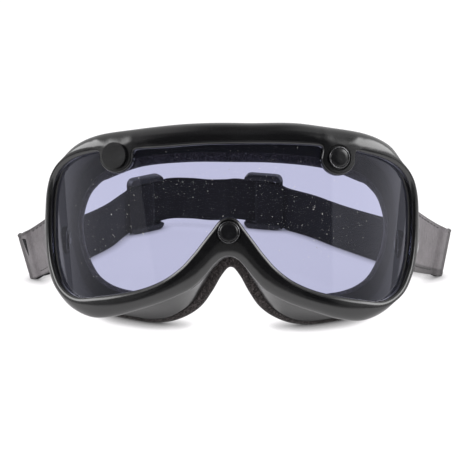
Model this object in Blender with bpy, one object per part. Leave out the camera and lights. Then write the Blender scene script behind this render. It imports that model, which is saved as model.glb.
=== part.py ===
"""Goggles: a moulded wrap-round frame, a smoke lens on three snaps, a padded face
lining, leather side tabs and an adjustable elastic head strap with two sliders.

Metres, +Z up. The goggles stand as they rest on a table: the frame leans back on the
lower edge of its lining, and the strap stands on its edge behind. The front faces -Y.
The frame's pieces are built upright, with x across, u up the face and w back from the
front, under one empty that leans them back.
"""

import math

import bmesh
import bpy
import numpy as np
from mathutils import Matrix, Vector

# Lens opening and wrap
LENS_HALF_WIDTH = 0.0873
LENS_RISE = 0.0400
WRAP_MARGIN = 0.0087
WRAP_HALF_WIDTH = LENS_HALF_WIDTH + WRAP_MARGIN
WRAP_DEPTH = 0.0550
# Frame moulding
BAND_WIDTH = 0.0104
BAND_DEPTH = 0.0145
RIM_FLARE = 0.0100
SKIRT_DEPTH = 0.0214
LIP_THICKNESS = 0.0032
BEAD_WIDTH = 0.0014
BEAD_RISE = 0.0007
BEAD_FOOT = 0.0003
GROOVE_WIDTH = 0.0005
CROWN_RISE = 0.0012
EDGE_ROUND = 0.0014
STEP_WIDTH = 0.0046
STEP_DEPTH = 0.0032
WALL = 0.0030
WALL_SHARE = 0.75
RIM_WIDTH = 0.0110
RIM_THICKNESS = 0.0024
RIM_ROUND = 0.0008
TAB_RADIUS = 0.0085
SNAP_ACROSS_SHARE = 0.6048
SNAP_SIDE_SHARE = -0.0172
SNAP_RISE_SHARE = 0.865
NOSE_SNAP_SHARE = -0.0275
LEAN = math.radians(20.0)
# Lens sheet
LENS_TUCK = 0.0030
LENS_THICKNESS = 0.0015
LENS_TRAVEL = 0.0040
LENS_CLEARANCE = 0.0004
# Snap fasteners
FIT = 0.00015
CAP_RADIUS = 0.0052
CAP_RISE = 0.0017
CAP_RING = 0.0006
CAP_POST_RADIUS = 0.0015
RECESS_DEPTH = 0.0005
RECESS_MARGIN = 0.0005
SNAP_WEB = 0.0010
POST_CLEARANCE = 0.0003
SOCKET_RADIUS = 0.0043
SOCKET_HEIGHT = 0.00135
SOCKET_WEB = 0.0005
STUD_RADIUS = 0.0019
STUD_FLANGE = 0.0023
STUD_SWAY = 0.0006
STUD_HEIGHT = 0.0008
STUD_WALL = 0.0006
EYELET_RADIUS = 0.0040
EYELET_THICKNESS = 0.0005
EYELET_BARREL = 0.00105
# Face lining
GAP = 0.0003
LINING_THICKNESS = 0.0080
LINING_PROUD = 0.0045
LINING_GAP = 0.0005
# Side rivets
RIVET_RISE = -0.0063
RIVET_SKIRT_SHARE = 0.584
RIVET_RADIUS = 0.0016
RIVET_HEAD = 0.0042
RIVET_HEAD_RISE = 0.0011
BOSS_SKIRT_SHARE = 0.3366
BOSS_HEIGHT = 0.0016
PAD_RISE = 0.0023
BURR_RADIUS = 0.0042
BURR_THICKNESS = 0.0008
# Leather tabs
TAB_MARGIN = 0.0025
TAB_END_SKIRT_SHARE = 0.3267
TAB_STRAIGHT = 0.0012
LEATHER = 0.0011
SLIT_WIDTH = 0.0021
SLIT_INSET = 0.0042
# Elastic strap
STRAP_WIDTH = 0.0250
ELASTIC = 0.0011
PLY_GAP = 0.0003
STRAP_FLARE = 0.0247
STRAP_DEPTH = 0.1750
# Sliders
SLIDER_LENGTH = 0.0220
SLIDER_MARGIN = 0.0080
SLIDER_ROUND = 0.0036
SLIDER_BAR = 0.0014
SLIDER_BAR_WIDTH = 0.0038
SLIDER_END_BAR = 0.0040
SLIDER_TRAVEL = 0.0030
SLIDER_EDGE = 0.0005
SEWN_REACH = 0.0120
CUT_OVERRUN = 0.0020

# Half outlines from the top centre round the right side to the nose, as shares.
# Each row: lip (x, u), band edge (x, u, w), rear rim (x, u), rim depth,
# lens tuck, step, rim width and how far the lining stands proud.
HALF_SHARES = (
    (0.0000, 1.000, 0.00, 1.00, 0.480, 0.00, 0.70, 0.560, 1.0, 1.0, 1.00, 0.10),
    (0.2520, 0.995, 0.00, 0.95, 0.480, 0.10, 0.70, 0.590, 1.0, 1.0, 1.00, 0.10),
    (0.5335, 0.963, -0.03, 0.83, 0.420, -0.06, 0.67, 0.670, 1.0, 1.0, 1.05, 0.10),
    (0.7170, 0.922, 0.17, 0.74, 0.460, 0.00, 0.41, 0.780, 1.0, 1.0, 1.12, 0.10),
    (0.8590, 0.825, 0.19, 0.61, 0.506, -0.15, 0.25, 0.870, 1.0, 1.0, 1.12, 0.10),
    (0.9460, 0.672, 0.245, 0.375, 0.590, -0.21, -0.04, 0.940, 1.0, 1.0, 1.02, 0.10),
    (0.9900, 0.442, 0.37, 0.16, 0.685, -0.24, -0.22, 0.985, 1.0, 1.0, 0.85, 0.10),
    (1.0000, 0.125, 0.488, -0.10, 0.820, -0.18, -0.20, 1.000, 1.0, 1.0, 0.78, 0.10),
    (0.9920, -0.202, 0.47, -0.09, 0.797, -0.24, -0.14, 0.985, 1.0, 1.0, 0.80, 0.10),
    (0.9660, -0.465, 0.40, -0.15, 0.722, -0.35, -0.29, 0.940, 1.0, 1.0, 0.90, 0.15),
    (0.9210, -0.675, 0.37, -0.21, 0.658, -0.49, -0.40, 0.875, 1.0, 1.0, 1.00, 0.20),
    (0.8410, -0.800, 0.245, -0.574, 0.585, -0.59, -0.60, 0.800, 1.0, 1.0, 1.10, 0.30),
    (0.7260, -0.805, 0.15, -1.00, 0.576, -0.49, -0.97, 0.735, 1.0, 1.0, 1.15, 0.36),
    (0.5960, -0.763, 0.14, -1.08, 0.550, -0.30, -1.30, 0.675, 1.0, 1.0, 1.15, 0.38),
    (0.4700, -0.700, 0.14, -1.02, 0.540, -0.15, -1.65, 0.625, 1.0, 0.8, 1.10, 0.40),
    (0.3550, -0.595, 0.10, -1.10, 0.540, -0.05, -1.96, 0.580, 1.0, 0.5, 1.00, 0.50),
    (0.2640, -0.453, 0.05, -1.29, 0.510, 0.00, -2.17, 0.556, 1.1, 0.2, 0.90, 0.70),
    (0.1944, -0.290, -0.04, -1.51, 0.490, 0.02, -2.30, 0.540, 1.5, 0.0, 0.80, 0.90),
    (0.1407, -0.140, -0.10, -1.56, 0.450, 0.03, -2.18, 0.532, 2.3, 0.0, 0.75, 1.00),
    (0.0918, -0.003, -0.10, -1.57, 0.390, 0.06, -2.03, 0.530, 3.3, 0.0, 0.70, 1.00),
    (0.0479, 0.115, -0.08, -1.71, 0.340, 0.02, -1.98, 0.530, 4.1, 0.0, 0.70, 1.00),
    (0.0000, 0.153, 0.00, -1.77, 0.320, 0.00, -1.98, 0.530, 4.4, 0.0, 0.70, 1.00),
)
TAB_ROW_COUNT = 2
TAB_STATION_COUNT = 12
FINE_STATION_COUNT = 3
PLAIN_STATION_COUNT = 2
FINE_ROW_COUNT = 8
CROWN_SHARES = (0.16, 0.34, 0.52, 0.70, 0.86, 1.0)
DOME_SHARES = ((0.0, 1.0), (0.38, 0.94), (0.68, 0.72), (0.88, 0.36))
LENS_COLUMNS = 60
LINING_STRIDE = 1
LENS_STRIDE = 2
# Lining section: shares of its width from the inner edge, and of its thickness
LINING_SHARES = (
    (0.06, 0.0), (0.5, 0.0), (0.94, 0.0), (1.0, 0.16), (0.99, 0.52), (0.87, 0.86),
    (0.62, 1.0), (0.36, 1.0), (0.12, 0.84), (0.0, 0.5), (0.0, 0.14),
)
ROUND_STEPS = 16

# Strap in plan, as shares of its half span and its reach back: the tabs' outer edges at
# the floor and at their tops, the side runs, the sliders and the back run
LEFT_FOLD_SHARES = ((-0.948, 0.494), (-0.993, 0.470))
RIGHT_FOLD_SHARES = ((0.970, 0.553), (1.000, 0.541))
LEFT_RUN_SHARES = ((-0.850, 0.572), (-0.740, 0.664), (-0.648, 0.764))
RIGHT_RUN_SHARES = ((0.870, 0.598), (0.700, 0.682), (0.530, 0.778), (0.385, 0.880))
BACK_RUN_SHARES = ((-0.250, 0.983), (-0.150, 0.969), (-0.060, 0.973))
LEFT_SLIDER_SHARES = (-0.478, 0.925)
RIGHT_SLIDER_SHARES = (0.131, 0.963)
LEFT_SLIDER_TURN = math.radians(36.0)
RIGHT_SLIDER_TURN = math.radians(-12.0)
LEG_SPREAD_SHARE = 0.20
TAB_OUTWARD_SHARE = 0.25
RUN_STEPS = 4
TURN_STEPS = 3
TAB_LANE_STEPS = 4
STRAP_LANE_STEPS = 2
SIDES = ((-1, "left"), (1, "right"))
SIDE_BAND_SHARE = 0.488
SIDE_STEP_SHARE = 0.81

TAB_END_RADIUS = SKIRT_DEPTH * TAB_END_SKIRT_SHARE
SNAP_X = LENS_HALF_WIDTH * SNAP_ACROSS_SHARE
SNAP_SHIFT = LENS_HALF_WIDTH * SNAP_SIDE_SHARE
SNAP_RISE = LENS_RISE * SNAP_RISE_SHARE
NOSE_SNAP_RISE = LENS_RISE * NOSE_SNAP_SHARE
STRAP_HALF_WIDTH = LENS_HALF_WIDTH + STRAP_FLARE
TAB_WIDTH = STRAP_WIDTH + TAB_MARGIN
SLIDER_HEIGHT = STRAP_WIDTH + SLIDER_MARGIN
MERGE = 1e-7


def clear_scene():
    """Empties the file before the goggles are built."""
    for old in list(bpy.data.objects):
        bpy.data.objects.remove(old)


def material(name, colour, roughness, metallic=0.0, alpha=1.0):
    """One Principled material."""
    made = bpy.data.materials.new(name)
    made.use_nodes = True
    shader = made.node_tree.nodes["Principled BSDF"]
    shader.inputs["Base Color"].default_value = (*colour, 1.0)
    shader.inputs["Roughness"].default_value = roughness
    shader.inputs["Metallic"].default_value = metallic
    shader.inputs["Alpha"].default_value = alpha
    return made


def empty(name, parent, place, turn=(0.0, 0.0, 0.0)):
    """A parent point for a group of pieces."""
    made = bpy.data.objects.new(name, None)
    bpy.context.scene.collection.objects.link(made)
    made.parent = parent
    made.location = place
    made.rotation_euler = turn
    bpy.context.view_layer.update()
    return made


def finish(name, bm, dress, parent, frame=None):
    """Turns a closed bmesh into an object under its parent."""
    bmesh.ops.remove_doubles(bm, verts=bm.verts, dist=MERGE)
    bmesh.ops.recalc_face_normals(bm, faces=bm.faces)
    mesh = bpy.data.meshes.new(name)
    bm.to_mesh(mesh)
    bm.free()
    mesh.shade_smooth()
    mesh.set_sharp_from_angle(angle=math.radians(35.0))
    made = bpy.data.objects.new(name, mesh)
    bpy.context.scene.collection.objects.link(made)
    made.parent = parent
    if frame is not None:
        made.matrix_local = frame
    if dress is None:
        made.hide_render = True
        made.display_type = "WIRE"
    else:
        mesh.materials.append(dress)
    return made


def combine(target, tool, operation):
    """Adds a Boolean modifier to a piece."""
    step = target.modifiers.new(tool.name, "BOOLEAN")
    step.operation = operation
    step.solver = "EXACT"
    step.object = tool


def skin(rows, closed):
    """A bmesh over rows of points, each row a closed ring. With closed, the last row
    joins the first, and otherwise both ends are filled."""
    rings = [list(row) + [row[0]] for row in rows]
    if closed:
        rings.append(rings[0])
    bm = bmesh.new()
    bmesh.ops.create_grid(bm, x_segments=len(rings[0]) - 1, y_segments=len(rings) - 1)
    bm.verts.ensure_lookup_table()
    for vert, point in zip(bm.verts, (p for ring in rings for p in ring)):
        vert.co = point
    bmesh.ops.remove_doubles(bm, verts=bm.verts, dist=MERGE)
    if not closed:
        bmesh.ops.holes_fill(bm, edges=bm.edges, sides=0)
    return bm


def turned(profile, steps=ROUND_STEPS):
    """A bmesh turned about Z from (radius, height) points. A profile that starts on the
    axis ends on it, and any other is a closed ring."""
    bm = bmesh.new()
    verts = [bm.verts.new((radius, 0.0, height)) for radius, height in profile]
    edges = [bm.edges.new(pair) for pair in zip(verts, verts[1:])]
    if profile[0][0] > 0.0:
        edges.append(bm.edges.new((verts[-1], verts[0])))
    bmesh.ops.spin(
        bm, geom=verts + edges, cent=(0, 0, 0), axis=(0, 0, 1),
        angle=math.tau, steps=steps, use_merge=True,
    )
    bmesh.ops.remove_doubles(bm, verts=bm.verts, dist=MERGE)
    bmesh.ops.dissolve_degenerate(bm, dist=MERGE, edges=bm.edges)
    return bm


def smooth_rows(rows, counts, closed):
    """Points on a Catmull-Rom curve through rows of values, counts in each interval."""
    rows = np.array(rows, float)
    total = len(rows)
    made = []
    for index, count in enumerate(counts):
        around = [index - 1, index, index + 1, index + 2]
        if closed:
            around = [k % total for k in around]
        else:
            around = [min(max(k, 0), total - 1) for k in around]
        a, b, c, d = (rows[k] for k in around)
        for t in np.arange(count) / count:
            made.append(
                b + 0.5 * t * (c - a + t * (2 * a - 5 * b + 4 * c - d + t * (3 * (b - c) + d - a)))
            )
    if not closed:
        made.append(rows[-1])
    return np.array(made)


def wrap(x):
    """Depth of the front surface at x."""
    return WRAP_DEPTH * (1 - math.sqrt(1 - (x / WRAP_HALF_WIDTH) ** 2))


def frame_depth():
    """Depth of the rear rim at the frame's sides."""
    return wrap(LENS_HALF_WIDTH) + BAND_DEPTH + SKIRT_DEPTH


def rivet_depth():
    """Depth of the side rivets, midway down the skirt."""
    return frame_depth() - SKIRT_DEPTH * RIVET_SKIRT_SHARE


def wrap_slope(x):
    """How fast the front surface falls back at x."""
    share = x / WRAP_HALF_WIDTH
    return WRAP_DEPTH * share / (WRAP_HALF_WIDTH * math.sqrt(1 - share * share))


def wrap_normal(x):
    """Outward normal of the front surface, as (x, w)."""
    slope = wrap_slope(x)
    size = math.hypot(slope, 1)
    return slope / size, -1 / size


def on_wrap(x, u, out, depth):
    """A point moved by out along the surface and sunk by depth below it, as (x, u, w)."""
    across = x + out[0] / math.hypot(wrap_slope(x), 1)
    normal = wrap_normal(across)
    return np.array((across - depth * normal[0], u + out[1], wrap(across) - depth * normal[1]))


def unit(values):
    """Values scaled to length one."""
    values = np.array(values, float)
    return values / np.linalg.norm(values)


def half_steps():
    """How many stations each interval of the half outline has."""
    counts = [FINE_STATION_COUNT] * FINE_ROW_COUNT
    counts += [PLAIN_STATION_COUNT] * (len(HALF_SHARES) - 1 - FINE_ROW_COUNT)
    counts[TAB_ROW_COUNT] = TAB_STATION_COUNT
    return tuple(counts)


def stations():
    """Everything the frame's sections need, at each station round the opening."""
    half = np.array(HALF_SHARES)
    lip = half[:, 0:2] * (LENS_HALF_WIDTH, LENS_RISE)
    band = lip + half[:, 2:4] * BAND_WIDTH
    band_w = np.array([wrap(x) for x in lip[:, 0]]) + half[:, 4] * BAND_DEPTH
    rim = lip + half[:, 5:7] * RIM_FLARE
    rim_w = half[:, 7] * frame_depth()
    rows = np.column_stack(
        (lip, band, band_w, rim, rim_w, half[:, 8] * LENS_TUCK, half[:, 9] * STEP_WIDTH,
         half[:, 10] * RIM_WIDTH, half[:, 11] * LINING_PROUD)
    )
    mirrored = rows[-2:0:-1].copy()
    mirrored[:, (0, 2, 5)] *= -1
    steps = half_steps() + half_steps()[::-1]
    points = smooth_rows(np.vstack((rows, mirrored)), steps, True)
    keys = ("lip_x", "lip_u", "band_x", "band_u", "band_w", "rim_x", "rim_u", "rim_w",
            "tuck", "step", "rim_width", "proud")
    made = [dict(zip(keys, point)) for point in points]
    shape_tabs(made, steps)
    outward_of_rim(made)
    return made


def shape_tabs(made, steps):
    """Adds each station's lip edge, which goes round the two snap tabs, and the way out
    from it."""
    for station in made:
        edge = np.array((station["lip_x"], station["lip_u"]))
        out = unit((station["band_x"] - edge[0], station["band_u"] - edge[1]))
        station.update(edge=edge, out=out, base=edge, base_out=out)
    starts = np.cumsum((0,) + steps)
    for side, span in ((1, TAB_ROW_COUNT), (-1, len(steps) - 1 - TAB_ROW_COUNT)):
        centre = np.array((side * SNAP_X + SNAP_SHIFT, SNAP_RISE))
        first, last = starts[span], starts[span + 1]
        start, end = made[first]["base"] - centre, made[last]["base"] - centre
        from_angle = math.atan2(start[1], start[0])
        turn = (math.atan2(end[1], end[0]) - from_angle) % math.tau
        for index in range(first, last + 1):
            angle = from_angle + (index - first) / (last - first) * turn
            inward = -np.array((math.cos(angle), math.sin(angle)))
            corner = index in (first, last)
            made[index]["edge"] = centre - TAB_RADIUS * inward
            made[index]["out"] = unit(inward + made[index]["base_out"]) if corner else inward


def outward_of_rim(made):
    """Adds the outward direction of the rear rim at each station."""
    places = np.array([(s["rim_x"], s["rim_u"]) for s in made])
    ways = np.roll(places, -1, axis=0) - np.roll(places, 1, axis=0)
    for station, way in zip(made, ways):
        station["rim_out"] = unit((-way[1], way[0]))


def place(point):
    """A point (x, u, w) in the upright frame's own axes."""
    return Vector((point[0], point[2], point[1]))


def lens_edge(station, extra, depth):
    """A point off the lens opening, past the lens's tucked-in edge by extra."""
    out = station["base_out"] * (station["tuck"] + extra)
    return on_wrap(*station["base"], out, depth)


def rim_point(station, inset, back):
    """A point inset from the rear rim's outer edge and moved back from it."""
    across = np.array((station["rim_x"], station["rim_u"])) - inset * station["rim_out"]
    return np.array((*across, station["rim_w"] + back))


def step_reach(station):
    """How far the skirt steps in behind the band, with a full wall left beside the lens."""
    cavity = lens_edge(station, LENS_CLEARANCE, LIP_THICKNESS)
    wall = math.hypot(station["band_x"] - cavity[0], station["band_u"] - cavity[1])
    return max(min(station["step"], wall - WALL * WALL_SHARE), 0.0)


def frame_section(station):
    """The closed section of the frame moulding at one station."""
    edge, out = station["edge"], station["out"]
    groove = on_wrap(*edge, out * (BEAD_WIDTH + GROOVE_WIDTH), BEAD_FOOT)
    foot = on_wrap(*station["base"], station["base_out"] * (BEAD_WIDTH + 2 * GROOVE_WIDTH), BEAD_FOOT)
    brow = np.array((station["band_x"], station["band_u"], station["band_w"]))
    points = [
        on_wrap(*edge, out * 0.0, BEAD_FOOT),
        on_wrap(*edge, out * BEAD_WIDTH * 0.25, BEAD_FOOT - BEAD_RISE),
        on_wrap(*edge, out * BEAD_WIDTH * 0.70, BEAD_FOOT - BEAD_RISE),
        groove,
        foot,
    ]
    for share in CROWN_SHARES:
        angle = share * math.pi / 2
        outward, backward = math.sin(angle), 1 - math.cos(angle)
        point = foot + (brow - foot) * (outward, outward, backward)
        point[2] -= CROWN_RISE * math.sin(math.pi * share ** 0.7)
        points.append(point)
    inward = unit(np.array((station["lip_x"], station["lip_u"])) - brow[:2])
    reach = step_reach(station)
    points.append(brow + (*(inward * min(reach, EDGE_ROUND) * 0.5), EDGE_ROUND))
    step = brow + (*(inward * reach), STEP_DEPTH)
    points.append(step)
    rear = rim_point(station, 0.0, -EDGE_ROUND)
    points.append((step + rear) / 2)
    points.append(rear)
    points.append(rim_point(station, RIM_ROUND, 0.0))
    points.append(rim_point(station, station["rim_width"] * 0.5, 0.0))
    points.append(rim_point(station, station["rim_width"], 0.0))
    points.append(rim_point(station, station["rim_width"], -RIM_THICKNESS))
    points.append(rim_point(station, WALL, -RIM_THICKNESS - RIM_ROUND))
    cavity = lens_edge(station, LENS_CLEARANCE, LIP_THICKNESS)
    run = 2 * LENS_TRAVEL
    points.append(cavity + (0.0, 0.0, run))
    points.append(cavity)
    points.append(on_wrap(*edge, out * 0.0, LIP_THICKNESS))
    return [place(point) for point in points]


def boss_face():
    """How far out from the centre each rivet boss's flat face is."""
    return LENS_HALF_WIDTH + BAND_WIDTH * SIDE_BAND_SHARE - STEP_WIDTH * SIDE_STEP_SHARE + 2 * GAP


def side_frame(side):
    """Axes at a rivet boss's face, with Z out along the rivet."""
    turn = Matrix.Rotation(side * math.pi / 2, 4, "Y")
    return Matrix.Translation((side * boss_face(), rivet_depth(), RIVET_RISE)) @ turn


def seat_depth():
    """How far in from the boss face its pad ends, where the burr sits."""
    return WALL + BOSS_HEIGHT + PAD_RISE


def rivet_hole_profile():
    """The rivet's hole through the boss and its pad."""
    inner = -seat_depth() - CUT_OVERRUN
    hole = RIVET_RADIUS + POST_CLEARANCE
    return [(0.0, inner), (hole, inner), (hole, CUT_OVERRUN), (0.0, CUT_OVERRUN)]


def make_frame(ring, dress, parent):
    """The frame moulding, with its rivet bosses, snap seats and rivet holes."""
    shell = finish("frame_shell", skin([frame_section(s) for s in ring], True), dress, parent)
    for side, word in SIDES:
        root = -seat_depth()
        radius = SKIRT_DEPTH * BOSS_SKIRT_SHARE
        boss = turned([(0.0, root), (radius, root), (radius, 0.0), (0.0, 0.0)])
        combine(shell, finish(word + "_boss_form", boss, None, parent, side_frame(side)), "UNION")
    for number, frame in enumerate(snap_frames()):
        seat = turned(snap_seat_profile())
        combine(shell, finish(f"snap_seat_form_{number}", seat, None, parent, frame), "DIFFERENCE")
    for side, word in SIDES:
        hole = turned(rivet_hole_profile())
        combine(shell, finish(word + "_rivet_form", hole, None, parent, side_frame(side)), "DIFFERENCE")
    return shell


def snap_frames():
    """Axes at each snap on the front surface, with Z along its outward normal."""
    frames = []
    for x, rise in ((SNAP_SHIFT - SNAP_X, SNAP_RISE), (SNAP_SHIFT + SNAP_X, SNAP_RISE), (0.0, NOSE_SNAP_RISE)):
        normal = wrap_normal(x)
        turn = Matrix(((-normal[1], 0.0, normal[0]), (normal[0], 0.0, normal[1]), (0.0, 1.0, 0.0)))
        frames.append(Matrix.Translation((x, wrap(x), rise)) @ turn.to_4x4())
    return frames


def recess_floor():
    """Height of the recess that the snap cap sits in, from the front surface."""
    return -BEAD_FOOT - RECESS_DEPTH


def snap_seat_profile():
    """What a snap cuts from the frame: a recess, the post's hole and the socket's bore."""
    recess = CAP_RADIUS + RECESS_MARGIN
    hole = CAP_POST_RADIUS + POST_CLEARANCE
    bore = SOCKET_RADIUS + POST_CLEARANCE
    web_back = recess_floor() - SNAP_WEB
    back = -LIP_THICKNESS - CUT_OVERRUN
    return [(0.0, CUT_OVERRUN), (recess, CUT_OVERRUN), (recess, recess_floor()), (hole, recess_floor()),
            (hole, web_back), (bore, web_back), (bore, back), (0.0, back)]


def make_snaps(metal, black, parent):
    """Cap and socket on the frame, stud and eyelet on the lens, three of each."""
    floor = recess_floor() + FIT
    web_back = recess_floor() - SNAP_WEB
    socket_top = web_back - FIT
    socket_back = socket_top - SOCKET_HEIGHT
    inner = CAP_RADIUS - CAP_RING
    cap = [(share * inner, CAP_RISE * height) for share, height in DOME_SHARES]
    cap += [(inner, 0.2 * CAP_RISE), (CAP_RADIUS, 0.2 * CAP_RISE - FIT), (CAP_RADIUS, floor),
            (CAP_POST_RADIUS, floor), (CAP_POST_RADIUS, socket_top - SOCKET_WEB + FIT),
            (0.0, socket_top - SOCKET_WEB + FIT)]
    hole = CAP_POST_RADIUS + POST_CLEARANCE
    bore = STUD_FLANGE + STUD_SWAY
    socket = [(hole, socket_top), (SOCKET_RADIUS, socket_top), (SOCKET_RADIUS, socket_back),
              (bore, socket_back), (bore, socket_top - SOCKET_WEB), (hole, socket_top - SOCKET_WEB)]
    foot = lens_front() + FIT
    top = foot + STUD_HEIGHT
    bolt = EYELET_BARREL + 1.5 * FIT
    stud = [(0.0, top), (STUD_RADIUS * 0.7, top), (STUD_RADIUS, top - STUD_HEIGHT * 0.25),
            (STUD_RADIUS, top - STUD_HEIGHT * 0.45), (STUD_RADIUS * 0.85, top - STUD_HEIGHT * 0.65),
            (STUD_RADIUS * 0.85, top - STUD_HEIGHT * 0.75), (STUD_FLANGE, top - STUD_HEIGHT * 0.8),
            (STUD_FLANGE, foot), (bolt, foot), (bolt, top - STUD_WALL * 0.6), (0.0, top - STUD_WALL * 0.6)]
    behind = lens_front() - LENS_THICKNESS - FIT
    tip = top - STUD_WALL * 0.6 - FIT
    eyelet = [(0.0, tip), (EYELET_BARREL, tip), (EYELET_BARREL, behind), (EYELET_RADIUS, behind),
              (EYELET_RADIUS, behind - EYELET_THICKNESS * 0.6),
              (EYELET_RADIUS * 0.92, behind - EYELET_THICKNESS), (0.0, behind - EYELET_THICKNESS)]
    words = ("left", "right", "nose")
    for word, frame in zip(words, snap_frames()):
        finish(word + "_snap_cap", turned(cap), black, parent, frame)
        finish(word + "_snap_socket", turned(socket), metal, parent, frame)
        finish(word + "_snap_stud", turned(stud), metal, parent, frame)
        finish(word + "_snap_eyelet", turned(eyelet), metal, parent, frame)


def lens_front():
    """Height of the lens's front face, from the front surface."""
    return -LIP_THICKNESS - LENS_CLEARANCE


def make_lens(ring, dress, parent):
    """The bent lens sheet, with a hole at each snap."""
    edge = np.array([lens_edge(s, 0.0, 0.0)[:2] for s in ring])
    side = int(np.argmax(edge[:, 0]))
    other = int(np.argmin(edge[:, 0]))
    top = np.vstack((edge[other:], edge[: side + 1]))
    bottom = edge[side: other + 1][::-1]
    reach = min(edge[side, 0], -edge[other, 0])
    rows = []
    for column in range(LENS_COLUMNS + 1):
        x = -reach * math.cos(math.pi * column / LENS_COLUMNS)
        high = np.interp(x, top[:, 0], top[:, 1])
        low = np.interp(x, bottom[:, 0], bottom[:, 1])
        if column in (0, LENS_COLUMNS):
            high, low = (high + low) / 2 + FIT, (high + low) / 2 - FIT
        none = (0.0, 0.0)
        front, back = -lens_front(), -lens_front() + LENS_THICKNESS
        rows.append([place(on_wrap(x, u, none, depth))
                     for u, depth in ((high, front), (low, front), (low, back), (high, back))])
    lens = finish("lens", skin(rows, False), dress, parent)
    drill = EYELET_BARREL + POST_CLEARANCE
    for number, frame in enumerate(snap_frames()):
        reach_back = lens_front() - LENS_THICKNESS - CUT_OVERRUN
        pin = turned([(0.0, 0.0), (drill, 0.0), (drill, reach_back), (0.0, reach_back)])
        combine(lens, finish(f"lens_hole_form_{number}", pin, None, parent, frame), "DIFFERENCE")
    return lens


def lining_section(station):
    """The padded lining's section behind the rear rim."""
    inner, outer = station["rim_width"], -station["proud"]
    points = []
    for across, back in LINING_SHARES:
        inset = inner + (outer - inner) * across
        points.append(place(rim_point(station, inset, LINING_GAP + back * LINING_THICKNESS)))
    return points


def make_lining(ring, dress, parent):
    """The padded face lining."""
    rows = [lining_section(s) for s in ring[::LINING_STRIDE]]
    return finish("face_lining", skin(rows, True), dress, parent)


def stand_height(ring):
    """How high the front's reference point is when the lining stands on the floor."""
    lowest = min(
        point.z * math.cos(LEAN) - point.y * math.sin(LEAN)
        for station in ring[::LINING_STRIDE]
        for point in lining_section(station)
    )
    return -lowest


def leaned(x, u, w, lift):
    """A point of the upright frame, leaned back and lifted."""
    along = u * math.sin(LEAN) + w * math.cos(LEAN)
    return Vector((x, along, u * math.cos(LEAN) - w * math.sin(LEAN) + lift))


def normals_of(path, ups):
    """The way a band along the path faces at each point."""
    made = []
    for index, up in enumerate(ups):
        way = path[min(index + 1, len(path) - 1)] - path[max(index - 1, 0)]
        made.append(way.cross(up).normalized())
    return made


def shifted(path, ups, distances):
    """The path moved along the band's facing by a distance at each point."""
    return [p + n * d for p, n, d in zip(path, normals_of(path, ups), distances)]


def ribbon(path, ups, widths, thickness, origin, shift=0.0, lanes=1):
    """A bmesh band along a path, standing up along its ups, about an origin. With a shift
    it lies off the path by that much, the way it faces. Lanes divide it across."""
    rows = []
    rises = [lane / lanes - 0.5 for lane in range(lanes + 1)]
    for point, up, width, normal in zip(path, ups, widths, normals_of(path, ups)):
        centre, side = point - origin + normal * shift, normal * thickness / 2
        row = [centre + up * width * rise - side for rise in rises]
        row += [centre + up * width * rise + side for rise in reversed(rises)]
        rows.append(row)
    return skin(rows, False)


def blend(start, end, way_in, way_out, count):
    """Points on a smooth curve from start to end that leaves and arrives along two ways."""
    made = []
    reach = (end - start).length
    for t in (step / count for step in range(1, count + 1)):
        turn = 3 * t ** 2 - 2 * t ** 3
        bend = way_in * (t ** 3 - 2 * t ** 2 + t) + way_out * (t ** 3 - t ** 2)
        made.append((start.lerp(end, turn) + bend * reach, turn, t))
    return made


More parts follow.
